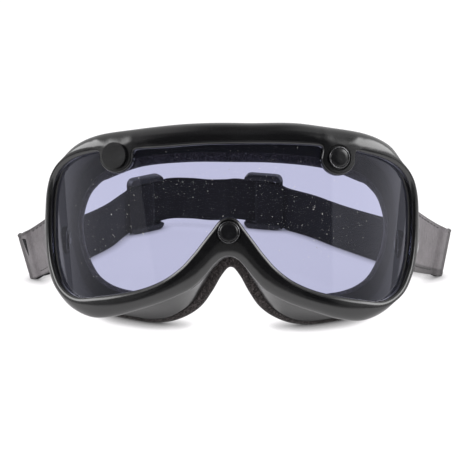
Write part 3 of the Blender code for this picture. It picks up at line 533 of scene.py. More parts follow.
RUBBER = MouldedRubber()
MATT = MouldedRubber("matt inner rubber", (0.006, 0.006, 0.007), (0.010, 0.010, 0.011), 0.62, 1.45)
LINING = KnitFabric()
SMOKE = SmokeSheet()
ENAMEL = PlainGloss()
STEEL = PlainGloss("plated steel", (0.46, 0.46, 0.48), 0.28, 1.0)
RIM = PlainGloss("dark cap rim", (0.24, 0.24, 0.25), 0.24, 1.0)
PLASTIC = PlainGloss("slider plastic", (0.007, 0.007, 0.009), 0.34)
LEATHER = TabLeather()
ELASTIC = WovenElastic()
WASHER = PlainGloss("blackened washer", (0.010, 0.010, 0.011), 0.5)
THREAD = PlainGloss("black thread", (0.008, 0.008, 0.009), 0.6)
DUST = Lint()


# ---------------------------------------------------------------- mesh tools


def combed(
    rows: Sequence[Sequence[Vector]], closed: bool, weave: bool = False, lined: int = 0
) -> bmesh.types.BMesh:
    """A skin over rows of points, each row a closed ring.

    Args:
        rows: The rings, all of the same length.
        closed: Whether the last ring joins the first. Otherwise both ends are filled.
        weave: Whether the skin gets a map in centimetres, along and across the rows.
        lined: The place on each row from which the second finish starts, or 0 for none.

    Returns:
        The skin.
    """
    rings = [list(row) + [row[0]] for row in rows]
    if closed:
        rings.append(rings[0])
    wide = len(rings[0])
    bm = bmesh.new()
    bmesh.ops.create_grid(bm, x_segments=wide - 1, y_segments=len(rings) - 1)
    bm.verts.ensure_lookup_table()
    flat = [point for ring in rings for point in ring]
    for vert, point in zip(bm.verts, flat):
        vert.co = point
    if lined:
        bm.faces.ensure_lookup_table()
        for index, face in enumerate(bm.faces):
            face.material_index = int(index % (wide - 1) >= lined)
    if weave:
        lay_weave(bm, rings, wide)
    bmesh.ops.remove_doubles(bm, verts=bm.verts, dist=MERGE)
    if not closed:
        bmesh.ops.holes_fill(bm, edges=bm.edges, sides=0)
    return bm


def lay_weave(bm: bmesh.types.BMesh, rings: list, wide: int) -> None:
    """Maps a skin in centimetres: along its rows' middles from the last, and round each ring.

    Args:
        bm: The skin, before its doubles are merged.
        rings: The rings of points.
        wide: How many points each ring has.
    """
    middles = [sum(ring[:-1], Vector()) / (len(ring) - 1) for ring in rings]
    along = np.cumsum([0.0] + [(b - a).length for a, b in zip(middles, middles[1:])])
    middle = rings[len(rings) // 2]
    across = np.cumsum([0.0] + [(b - a).length for a, b in zip(middle, middle[1:])])
    layer = bm.loops.layers.uv.new("weave")
    bm.verts.index_update()
    for face in bm.faces:
        for loop in face.loops:
            row, column = divmod(loop.vert.index, wide)
            loop[layer].uv = ((along[row] - along[-1]) * 100.0, across[column] * 100.0)


def turned(profile: Sequence[tuple], steps: int = 64) -> bmesh.types.BMesh:
    """A shape turned about Z.

    Args:
        profile: Points as radius and height. One that starts on the axis ends on it.
        steps: How many steps the turn has.

    Returns:
        The turned shape.
    """
    bm = bmesh.new()
    verts = [bm.verts.new((radius, 0.0, height)) for radius, height in profile]
    edges = [bm.edges.new(pair) for pair in zip(verts, verts[1:])]
    if profile[0][0] > 0.0:
        edges.append(bm.edges.new((verts[-1], verts[0])))
    bmesh.ops.spin(
        bm, geom=verts + edges, cent=(0, 0, 0), axis=(0, 0, 1),
        angle=math.tau, steps=steps, use_merge=True,
    )
    bmesh.ops.remove_doubles(bm, verts=bm.verts, dist=MERGE)
    bmesh.ops.dissolve_degenerate(bm, dist=MERGE, edges=bm.edges)
    return bm


def softened(points: Sequence[tuple], radius: float, closed: bool = False, steps: int = 4) -> list:
    """A profile with its inner corners rounded.

    Args:
        points: The profile.
        radius: How far the rounding reaches along each side.
        closed: Whether the profile is a ring.
        steps: Points on each rounding.

    Returns:
        The rounded profile.
    """
    spots = [np.array(point, float) for point in points]
    total = len(spots)
    made = []
    for index, spot in enumerate(spots):
        if not closed and index in (0, total - 1):
            made.append(tuple(spot))
            continue
        before, after = spots[index - 1], spots[(index + 1) % total]
        reach = min(radius, np.linalg.norm(before - spot) * 0.45, np.linalg.norm(after - spot) * 0.45)
        start = spot + unit(before - spot) * reach
        end = spot + unit(after - spot) * reach
        for step in range(steps + 1):
            t = step / steps
            made.append(tuple(start * (1 - t) ** 2 + spot * 2 * t * (1 - t) + end * t * t))
    return made


def placed(bm: bmesh.types.BMesh, where: Matrix) -> bmesh.types.BMesh:
    """The shape moved by a matrix."""
    bmesh.ops.transform(bm, matrix=where, verts=bm.verts)
    return bm


def block(size: tuple, where: Matrix, soft: float = 0.0) -> bmesh.types.BMesh:
    """A block centred on its place, with its edges softened."""
    bm = bmesh.new()
    bmesh.ops.create_cube(bm, size=1.0)
    bmesh.ops.scale(bm, vec=size, verts=bm.verts)
    if soft:
        bmesh.ops.bevel(
            bm, geom=bm.edges[:], offset=soft, segments=3, profile=0.5,
            affect="EDGES", material=-1,
        )
    return placed(bm, where)


def outward(bm: bmesh.types.BMesh) -> bmesh.types.BMesh:
    """The shape with every face pointing out."""
    bmesh.ops.recalc_face_normals(bm, faces=bm.faces)
    return bm


def body_from(name: str, bm: bmesh.types.BMesh, finish: Finish, crease: float = 38.0) -> bpy.types.Object:
    """An object of a shape.

    Args:
        name: The piece's name.
        bm: Its shape, which is used up.
        finish: What it is made of.
        crease: The angle in degrees past which an edge stays sharp.

    Returns:
        The object.
    """
    mesh = bpy.data.meshes.new(name)
    outward(bm).to_mesh(mesh)
    bm.free()
    mesh.materials.append(finish.material())
    made = bpy.data.objects.new(name, mesh)
    bpy.context.scene.collection.objects.link(made)
    smooth(made, crease)
    return made


def smooth(piece: bpy.types.Object, crease: float) -> None:
    """Smooths a piece's shading up to a crease angle in degrees."""
    piece.data.shade_smooth()
    piece.data.set_sharp_from_angle(angle=math.radians(crease))


def carve(piece: bpy.types.Object, tools: Iterable[tuple], crease: float = 38.0) -> None:
    """Joins shapes to a piece or cuts them from it, and keeps the result as its mesh.

    Args:
        piece: The piece.
        tools: Pairs of a Boolean operation and a shape.
        crease: The crease angle of the result.
    """
    helpers = []
    for operation, bm in tools:
        mesh = bpy.data.meshes.new("tool")
        outward(bm).to_mesh(mesh)
        bm.free()
        tool = bpy.data.objects.new("tool", mesh)
        bpy.context.scene.collection.objects.link(tool)
        step = piece.modifiers.new("step", "BOOLEAN")
        step.operation, step.solver, step.object = operation, "EXACT", tool
        helpers.append(tool)
    graph = bpy.context.evaluated_depsgraph_get()
    result = bpy.data.meshes.new_from_object(piece.evaluated_get(graph))
    piece.modifiers.clear()
    piece.data = result
    for tool in helpers:
        bpy.data.objects.remove(tool)
    smooth(piece, crease)


def fit(piece: bpy.types.Object, body: str, slot: Slot, *nodes: str) -> bpy.types.Object:
    """Puts a piece on its body in place of CAD nodes, and reports it.

    Args:
        piece: The piece.
        body: The CAD body that it moves with.
        slot: The material slot of its finish. It is not used.
        nodes: The CAD nodes that it replaces.

    Returns:
        The piece.
    """
    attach(piece, body)
    if nodes:
        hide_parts(*nodes)
    LOG.info("%s: %d faces, rides on %s", piece.name, len(piece.data.polygons), body)
    return piece


def unit(values: Sequence[float]) -> np.ndarray:
    """Values scaled to length one."""
    values = np.array(values, float)
    return values / max(np.linalg.norm(values), 1e-12)


def flowing(rows: Sequence, counts: Sequence[int], closed: bool) -> np.ndarray:
    """Points on a Catmull-Rom curve through rows of values.

    Args:
        rows: The rows.
        counts: How many points each interval gets.
        closed: Whether the curve is a ring.

    Returns:
        The points, one row each.
    """
    table = np.array(rows, float)
    total = len(table)
    made = []
    for index, count in enumerate(counts):
        around = [index - 1, index, index + 1, index + 2]
        if closed:
            around = [k % total for k in around]
        else:
            around = [min(max(k, 0), total - 1) for k in around]
        a, b, c, d = (table[k] for k in around)
        for t in np.arange(count) / count:
            pull = 2 * a - 5 * b + 4 * c - d + t * (3 * (b - c) + d - a)
            made.append(b + 0.5 * t * (c - a + t * pull))
    if not closed:
        made.append(table[-1])
    return np.array(made)


# ---------------------------------------------------------------- the front's shape


@dataclass
class Station:
    """What the front's sections need at one place round the lens opening."""

    base: np.ndarray
    base_out: np.ndarray
    edge: np.ndarray
    out: np.ndarray
    brow: np.ndarray
    rim: np.ndarray
    rim_w: float
    rim_out: np.ndarray
    tuck: float
    step: float
    rim_width: float
    proud: float


@dataclass(frozen=True)
class Front:
    """The sizes of the wrapped front, and the outline of its opening."""

    lens_half_width: float = 0.0873
    lens_rise: float = 0.0400
    wrap_margin: float = 0.0087
    wrap_drop: float = 0.0550
    band_width: float = 0.0104
    band_depth: float = 0.0145
    rim_flare: float = 0.0100
    skirt_depth: float = 0.0214
    lip: float = 0.0032
    bead_foot: float = 0.0003
    tab_radius: float = 0.0085
    snap_across: float = 0.0527990
    snap_shift: float = -0.0015016
    snap_rise: float = 0.0346
    nose_snap_rise: float = -0.0011
    lens_tuck: float = 0.0030
    lens_clearance: float = 0.0004
    step_width: float = 0.0046
    rim_width: float = 0.0110
    lining_proud: float = 0.0045
    fine: int = 8
    tab_fine: int = 54
    tab_row: int = 2
    half: tuple = (
        (0.0000, 1.000, 0.00, 1.00, 0.480, 0.00, 0.70, 0.560, 1.0, 1.0, 1.00, 0.10),
        (0.2520, 0.995, 0.00, 0.95, 0.480, 0.10, 0.70, 0.590, 1.0, 1.0, 1.00, 0.10),
        (0.5335, 0.963, -0.03, 0.83, 0.420, -0.06, 0.67, 0.670, 1.0, 1.0, 1.05, 0.10),
        (0.7170, 0.922, 0.17, 0.74, 0.460, 0.00, 0.41, 0.780, 1.0, 1.0, 1.12, 0.10),
        (0.8590, 0.825, 0.15, 0.61, 0.506, -0.15, 0.25, 0.870, 1.0, 1.0, 1.12, 0.10),
        (0.9460, 0.672, 0.130, 0.375, 0.590, -0.21, -0.04, 0.940, 1.0, 1.0, 1.02, 0.10),
        (0.9900, 0.442, 0.27, 0.16, 0.685, -0.24, -0.22, 0.985, 1.0, 1.0, 0.85, 0.10),
        (1.0000, 0.125, 0.488, -0.10, 0.820, -0.18, -0.20, 1.000, 1.0, 1.0, 0.78, 0.10),
        (0.9920, -0.202, 0.47, -0.09, 0.797, -0.24, -0.14, 0.985, 1.0, 1.0, 0.80, 0.10),
        (0.9660, -0.465, 0.40, -0.15, 0.722, -0.35, -0.29, 0.940, 1.0, 1.0, 0.90, 0.15),
        (0.9210, -0.675, 0.37, -0.21, 0.658, -0.49, -0.40, 0.875, 1.0, 1.0, 1.00, 0.20),
        (0.8410, -0.800, 0.245, -0.574, 0.585, -0.59, -0.60, 0.800, 1.0, 1.0, 1.10, 0.30),
        (0.7260, -0.805, 0.15, -1.00, 0.576, -0.49, -0.97, 0.735, 1.0, 1.0, 1.15, 0.36),
        (0.5960, -0.763, 0.14, -1.08, 0.550, -0.30, -1.30, 0.675, 1.0, 1.0, 1.15, 0.38),
        (0.4700, -0.700, 0.14, -1.02, 0.540, -0.15, -1.65, 0.625, 1.0, 0.8, 1.10, 0.40),
        (0.3550, -0.595, 0.10, -1.10, 0.540, -0.05, -1.96, 0.580, 1.0, 0.5, 1.00, 0.50),
        (0.2640, -0.453, 0.05, -1.29, 0.510, 0.00, -2.17, 0.556, 1.1, 0.2, 0.90, 0.70),
        (0.1944, -0.290, -0.04, -1.51, 0.490, 0.02, -2.30, 0.540, 1.5, 0.0, 0.80, 0.90),
        (0.1407, -0.140, -0.10, -1.56, 0.450, 0.03, -2.18, 0.532, 2.3, 0.0, 0.75, 1.00),
        (0.0918, -0.003, -0.10, -1.57, 0.390, 0.06, -2.03, 0.530, 3.3, 0.0, 0.70, 1.00),
        (0.0479, 0.115, -0.08, -1.71, 0.340, 0.02, -1.98, 0.530, 4.1, 0.0, 0.70, 1.00),
        (0.0000, 0.153, 0.00, -1.77, 0.320, 0.00, -1.98, 0.530, 4.4, 0.0, 0.70, 1.00),
    )

    @property
    def wrap_half(self) -> float:
        """Half the width of the wrap's ellipse."""
        return self.lens_half_width + self.wrap_margin

    @property
    def depth(self) -> float:
        """Depth of the rear rim at the sides."""
        return self.wrap(self.lens_half_width) + self.band_depth + self.skirt_depth

    def wrap(self, x: float) -> float:
        """Depth of the front surface at x."""
        return self.wrap_drop * (1 - math.sqrt(1 - (x / self.wrap_half) ** 2))

    def slope(self, x: float) -> float:
        """How fast the front surface falls back at x."""
        share = x / self.wrap_half
        return self.wrap_drop * share / (self.wrap_half * math.sqrt(1 - share * share))

    def normal(self, x: float) -> tuple:
        """Outward normal of the front surface at x, as x and w."""
        slope = self.slope(x)
        size = math.hypot(slope, 1)
        return slope / size, -1 / size

    def slid(self, spot: np.ndarray, out: np.ndarray) -> np.ndarray:
        """A spot (x, u) moved by out along the surface."""
        return np.array((spot[0] + out[0] / math.hypot(self.slope(spot[0]), 1), spot[1] + out[1]))

    def sunk(self, spot: np.ndarray, depth: float) -> np.ndarray:
        """The point (x, u, w) at a depth below the surface's spot (x, u)."""
        normal = self.normal(spot[0])
        return np.array((spot[0] - depth * normal[0], spot[1], self.wrap(spot[0]) - depth * normal[1]))

    def stations(self) -> list:
        """The stations round the opening, from the top centre to the wearer's left.

        Returns:
            The stations in order, as one ring.
        """
        half = np.array(self.half)
        lip = half[:, 0:2] * (self.lens_half_width, self.lens_rise)
        band = lip + half[:, 2:4] * self.band_width
        band_w = np.array([self.wrap(x) for x in lip[:, 0]]) + half[:, 4] * self.band_depth
        rim = lip + half[:, 5:7] * self.rim_flare
        rows = np.column_stack((
            lip, band, band_w, rim, half[:, 7] * self.depth, half[:, 8] * self.lens_tuck,
            half[:, 9] * self.step_width, half[:, 10] * self.rim_width,
            half[:, 11] * self.lining_proud,
        ))
        mirrored = rows[-2:0:-1].copy()
        mirrored[:, (0, 2, 5)] *= -1
        steps = [self.fine] * (len(rows) - 1)
        for span in (self.tab_row - 1, self.tab_row, self.tab_row + 1):
            steps[span] = self.tab_fine
        steps = steps + steps[::-1]
        points = flowing(np.vstack((rows, mirrored)), steps, True)
        places = [(count, k) for count in steps for k in range(count)]
        made = []
        for row, (count, k) in zip(points, places):
            if count == self.tab_fine and k % 6 and self.tab_share(row[:2], 0.0025) == 0.0:
                continue
            self.settle(row)
            out = unit(row[2:4] - row[0:2])
            made.append(Station(
                row[0:2], out, row[0:2].copy(), out.copy(), row[2:5], row[5:7], row[7],
                out, row[8], row[9], row[10], row[11],
            ))
        self.shape_tabs(made)
        self.face_out(made)
        return made

    @staticmethod
    def settle(row: np.ndarray) -> None:
        """Adds the soft moulding's small unevenness: its top is fuller on one side."""
        def ease(value: float) -> float:
            value = min(max(value, 0.0), 1.0)
            return value * value * (3 - 2 * value)

        x, rise = row[0], row[1]
        upper = ease(rise / 0.02)
        row[1] += upper * (0.0009 * math.exp(-((x - 0.040) / 0.024) ** 2) - 0.0013 * math.exp(-((x + 0.036) / 0.022) ** 2))
        row[3] += upper * 0.0019 * ease((x - 0.006) / 0.030) * ease((0.086 - x) / 0.012)
        row[2] -= 0.0011 * ease((-rise - 0.004) / 0.02)

    def tab_centres(self) -> list:
        """The middles of the two snap tabs."""
        return [np.array((side * self.snap_across + self.snap_shift, self.snap_rise)) for side in (1, -1)]

    def tab_share(self, spot: np.ndarray, blend: float) -> float:
        """How far a spot of the outline belongs to a tab: 1 inside, 0 past its border by blend."""
        away = min(float(np.linalg.norm(spot - centre)) for centre in self.tab_centres())
        share = min(max((self.tab_radius - away) / abs(blend) + (blend > 0), 0.0), 1.0)
        return share * share * (3 - 2 * share)

    def shape_tabs(self, made: list) -> None:
        """Leads the lip's edge round the two snap tabs, with soft inner corners.

        Args:
            made: The stations.
        """
        for centre in self.tab_centres():
            held = [k for k, row in enumerate(made) if np.linalg.norm(row.base - centre) < self.tab_radius]
            first, last = held[0], held[-1]
            start, end = made[first].base - centre, made[last].base - centre
            from_angle = math.atan2(start[1], start[0])
            turn = (math.atan2(end[1], end[0]) - from_angle) % math.tau
            for index in range(first, last + 1):
                angle = from_angle + (index - first) / (last - first) * turn
                way = np.array((math.cos(angle), math.sin(angle)))
                made[index].edge = centre + self.tab_radius * way
            for corner in (first, last):
                self.relax(made, corner)

    @staticmethod
    def relax(made: list, corner: int, reach: int = 7, passes: int = 26) -> None:
        """Rounds the lip's edge at a corner."""
        for _ in range(passes):
            around = {k: made[k].edge for k in range(corner - reach - 1, corner + reach + 2)}
            for k in range(corner - reach, corner + reach + 1):
                made[k].edge = around[k] * 0.5 + (around[k - 1] + around[k + 1]) * 0.25

    @staticmethod
    def face_out(made: list) -> None:
        """Gives each station its ways out from the lip's edge and from the rear rim."""
        edges = np.array([station.edge for station in made])
        rims = np.array([station.rim for station in made])
        for spots, name in ((edges, "out"), (rims, "rim_out")):
            ways = np.roll(spots, -1, axis=0) - np.roll(spots, 1, axis=0)
            for station, way in zip(made, ways):
                setattr(station, name, unit((-way[1], way[0])))

    def lens_spot(self, station: Station, extra: float) -> np.ndarray:
        """The spot on the surface past the lens's tucked-in edge by extra."""
        return self.slid(station.base, station.base_out * (station.tuck + extra))

    @staticmethod
    def rim_point(station: Station, inset: float, back: float) -> np.ndarray:
        """A point inset from the rear rim's outer edge and moved back from it."""
        across = station.rim - inset * station.rim_out
        return np.array((*across, station.rim_w + back))

    def snap_places(self) -> list:
        """Axes at each snap in the row frame, with Z along the surface's normal."""
        made = []
        corners = [(side * self.snap_across + self.snap_shift, self.snap_rise) for side in (-1, 1)]
        for x, rise in (*corners, (0.0, self.nose_snap_rise)):
            out = self.normal(x)
            turn = Matrix(((-out[1], 0.0, out[0]), (out[0], 0.0, out[1]), (0.0, 1.0, 0.0)))
            made.append(STAND @ Matrix.Translation((x, self.wrap(x), rise)) @ turn.to_4x4())
        return made


def stood(point: Sequence[float]) -> Vector:
    """A point (x, u, w) of the upright front, in the row frame."""
    return STAND @ Vector((point[0], point[2], point[1]))


# ---------------------------------------------------------------- the frame moulding


@dataclass
class Moulding:
    """The one-piece rubber frame, with its rounded lip, band, stepped skirt and rear rim."""

    front: Front
    lip_round: float = 0.0019
    lip_drop: float = 0.0017
    lip_rise: float = 0.0003
    lip_wide: float = 0.0027
    fullness: float = 0.56
    edge_round: float = 0.0014
    step_back: float = 0.0032
    wall: float = 0.0030
    wall_share: float = 0.75
    rim_thickness: float = 0.0024
    rim_round: float = 0.0008
    flange_back: float = 0.0018
    lens_run: float = 0.0080
    boss_height: float = 0.0016
    boss_radius: float = 0.0072
    pad_depth: float = 0.0069
    rivet_hole: float = 0.0019
    recess_radius: float = 0.0057
    recess_depth: float = 0.0005
    crown_steps: int = 18
    face_steps: int = 7
    skirt_steps: int = 10
    lip_steps: int = 9

    def section(self, station: Station) -> list:
        """The closed section of the moulding at one station.

        Args:
            station: Where it is.

        Returns:
            Its points in the row frame.
        """
        front, out = self.front, station.out
        edge = station.edge + out * self.spread(station)
        top = front.bead_foot - self.lip_rise
        soft = self.lip_round - 0.0011 * front.tab_share(station.base, 0.004)
        made = [front.sunk(edge, front.lip * 0.97), front.sunk(edge, front.lip * 0.8)]
        for step in range(self.lip_steps + 1):
            angle = math.pi / 2 * step / self.lip_steps
            across = soft * (1 - math.cos(angle)) + 0.0002 * math.sin(angle)
            made.append(front.sunk(front.slid(edge, out * across), top + self.lip_drop * (1 - math.sin(angle))))
        start = front.slid(edge, out * (soft + 0.0004))
        near = start + station.base_out * 0.0004
        draw_in = 0.0019 * front.tab_share(station.base, -0.005)
        far = front.slid(station.base, station.base_out * (self.lip_round + 0.0008 - draw_in))
        end = near + (far - near) * front.tab_share(station.base, 0.004)
        for step in range(self.face_steps + 1):
            share = step / self.face_steps
            made.append(front.sunk(start * (1 - share) + end * share, top))
        made += self.crown(made[-1], station)
        made += self.skirt(station)
        made += self.inside(station)
        return [stood(point) for point in made]

    def spread(self, station: Station) -> float:
        """How much wider the lip's opening is at the sides than the lens's outline."""
        return self.lip_wide * min(max((abs(station.edge[0]) - 0.062) / 0.023, 0.0), 1.0) ** 1.5

    def crown(self, foot: np.ndarray, station: Station) -> list:
        """The band's rounded face, from the lip to its outer edge.

        Args:
            foot: Where the lip's rounding ends.
            station: Where it is.

        Returns:
            The points past the foot.
        """
        brow = station.brow
        way = unit(brow[:2] - foot[:2])
        span = float(np.linalg.norm(brow[:2] - foot[:2]))
        fall = max(self.front.slope(foot[0]) * way[0], 0.0)
        drop = brow[2] - foot[2]
        fall = min(fall, 0.75 * drop / span)
        lead = foot + np.array((*way, fall)) * span * self.fullness
        last = brow - np.array((0.0, 0.0, (drop - fall * span) * self.fullness))
        made = []
        for step in range(1, self.crown_steps + 1):
            t = step / self.crown_steps
            s = 1 - t
            made.append(foot * s ** 3 + lead * 3 * s * s * t + last * 3 * s * t * t + brow * t ** 3)
        return made

    def reach(self, station: Station) -> float:
        """How far the skirt steps in behind the band."""
        cavity = self.front.sunk(self.front.lens_spot(station, self.front.lens_clearance), self.front.lip)
        wall = math.hypot(station.brow[0] - cavity[0], station.brow[1] - cavity[1])
        return max(min(station.step, wall - self.wall * self.wall_share), 0.0)

    def skirt(self, station: Station) -> list:
        """The rounded back of the band, the step and the skirt down to the rear rim."""
        brow, reach = station.brow, self.reach(station)
        inward = np.array((*unit(station.base - brow[:2]), 0.0))
        back = np.array((0.0, 0.0, 1.0))
        turn = min(reach * 0.6, self.edge_round)
        made = []
        for step in range(1, 6):
            angle = math.pi / 2 * step / 5
            made.append(brow + inward * turn * (1 - math.cos(angle)) + back * self.edge_round * math.sin(angle))
        corner = brow + inward * reach + back * self.step_back
        rear = self.front.rim_point(station, 0.0, -self.edge_round)
        start = made[-1]
        for step in range(1, 4):
            t = step / 4
            made.append(start * (1 - t) ** 2 + (start + inward * (reach - turn) * 0.9) * 2 * t * (1 - t) + corner * t * t)
        for step in range(self.skirt_steps + 1):
            made.append(corner + (rear - corner) * step / self.skirt_steps)
        for step in range(1, 4):
            angle = math.pi / 2 * step / 3
            made.append(self.front.rim_point(
                station, self.rim_round * (1 - math.cos(angle)), -self.edge_round * (1 - math.sin(angle))
            ))
        return made

    def inside(self, station: Station) -> list:
        """The rear rim's flange, the inner wall and the lens's seat behind the lip."""
        front = self.front
        thick = self.rim_thickness
        flange = station.rim_width - self.flange_back
        made = [front.rim_point(station, flange * share, 0.0) for share in (0.3, 0.6, 0.94)]
        made.append(front.rim_point(station, flange, -thick * 0.2))
        made.append(front.rim_point(station, flange, -thick * 0.8))
        made.append(front.rim_point(station, flange * 0.94, -thick))
        made.append(front.rim_point(station, self.wall + 0.0008, -thick))
        made.append(front.rim_point(station, self.wall, -thick - self.rim_round))
        cavity = front.sunk(front.lens_spot(station, front.lens_clearance), front.lip)
        start, end = made[-1], cavity + (0.0, 0.0, self.lens_run)
        made += [start + (end - start) * step / 4 for step in range(1, 5)]
        made += [cavity + (0.0, 0.0, self.lens_run * 0.5), cavity]
        lip_back = front.sunk(station.edge + station.out * self.spread(station), front.lip)
        made += [cavity + (lip_back - cavity) * 0.5, lip_back]
        return made

    def boss_place(self, side: int) -> Matrix:
        """Axes at a rivet boss's face in the row frame, with Z out along the rivet."""
        return STAND @ rivet_place(side)

    def build(self, ring: list) -> bpy.types.Object:
        """Builds the moulding.

        Args:
            ring: The stations.

        Returns:
            The piece.
        """
        rows = [self.section(station) for station in ring]
        bm = combed(rows, True, lined=len(rows[0]) - len(self.inside(ring[0])) - 1)
        piece = body_from("frame_moulding", bm, RUBBER, 50.0)
        piece.data.materials.append(MATT.material())
        tools = []
        for side in (-1, 1):
            boss = softened(
                [(0.0, -self.pad_depth), (self.boss_radius, -self.pad_depth), (self.boss_radius, 0.0), (0.0, 0.0)], 0.0006,
            )
            tools.append(("UNION", placed(turned(boss), self.boss_place(side))))
            hole = [(0.0, -self.pad_depth - 0.002), (self.rivet_hole, -self.pad_depth - 0.002),
                    (self.rivet_hole, 0.002), (0.0, 0.002)]
            tools.append(("DIFFERENCE", placed(turned(hole), self.boss_place(side))))
        for where in self.front.snap_places():
            tools.append(("DIFFERENCE", placed(turned(self.seat()), where)))
        carve(piece, tools, 50.0)
        return fit(piece, "frame", Slot.RUBBER, "frame_shell")

    def seat(self) -> list:
        """What each snap takes out of the moulding: a recess with a soft brim, and bores."""
        floor = -self.front.bead_foot - self.recess_depth
        web = floor - 0.0010
        flare = [
            (self.recess_radius + 0.0005, 0.0020),
            (self.recess_radius + 0.0005, -self.front.bead_foot + 0.0003),
            (self.recess_radius + 0.00025, -self.front.bead_foot - 0.00002),
            (self.recess_radius, -self.front.bead_foot - 0.0002),
        ]
        return [(0.0, 0.0020), *flare, (self.recess_radius, floor), (0.0018, floor), (0.0018, web),
                (0.0046, web), (0.0046, -self.front.lip - 0.002), (0.0, -self.front.lip - 0.002)]


BOSS_FACE = 0.0873 + 0.0104 * 0.488 - 0.0046 * 0.81 + 2 * 0.0003
RIVET_RISE = -0.0063
RIVET_SHARE = 0.584


def rivet_place(side: int) -> Matrix:
    """Axes at a rivet boss's face on the upright front, with Z out along the rivet."""
    front = Front()
    depth = front.depth - front.skirt_depth * RIVET_SHARE
    turn = Matrix.Rotation(side * math.pi / 2, 4, "Y")
    return Matrix.Translation((side * BOSS_FACE, depth, RIVET_RISE)) @ turn


# ---------------------------------------------------------------- lining and lens


@dataclass
class Lining:
    """The padded face lining: foam under a brushed knit, sewn along its outer edge."""

    front: Front
    thickness: float = 0.0080
    gap: float = 0.0005
    steps: int = 34
    sides_back: float = 0.0002
    top_reach: float = 0.0027
    floor: float = 0.0003

    def section(self, station: Station, phase: float) -> list:
        """The padded section behind the rear rim.

        Args:
            station: Where it is.
            phase: A number round the opening, that the padding's swell varies with.

        Returns:
            Its points in the row frame.
        """
        inner = station.rim_width - self.sides_back + self.top_reach * max(station.rim_out[1], 0.0) ** 2
        outer = -station.proud
        span = outer - inner
        swell = 1.0 + 0.025 * math.sin(phase * 9.0) + 0.015 * math.sin(phase * 23.0 + 1.0)
        made = []
        for step in range(self.steps):
            angle = math.tau * step / self.steps
            across = 0.5 - 0.5 * math.copysign(abs(math.cos(angle)) ** 0.62, math.cos(angle))
            back = 0.5 - 0.5 * math.copysign(abs(math.sin(angle)) ** 0.62, math.sin(angle))
            depth = self.gap + back * self.thickness * (swell if back > 0.5 else 1.0) * 0.985
            point = stood(self.front.rim_point(station, inner + span * across, depth))
            point.z = max(point.z, self.floor)
            made.append(point)
        return made

    def build(self, ring: list) -> bpy.types.Object:
        """Builds the lining.

        Args:
            ring: The stations.

        Returns:
            The piece.
        """
        total = len(ring)
        rows = [self.section(station, math.tau * index / total) for index, station in enumerate(ring)]
        piece = body_from("face_pad", combed(rows, True), LINING, 60.0)
        fit(piece, "frame", Slot.LINING, "face_lining")
        return piece


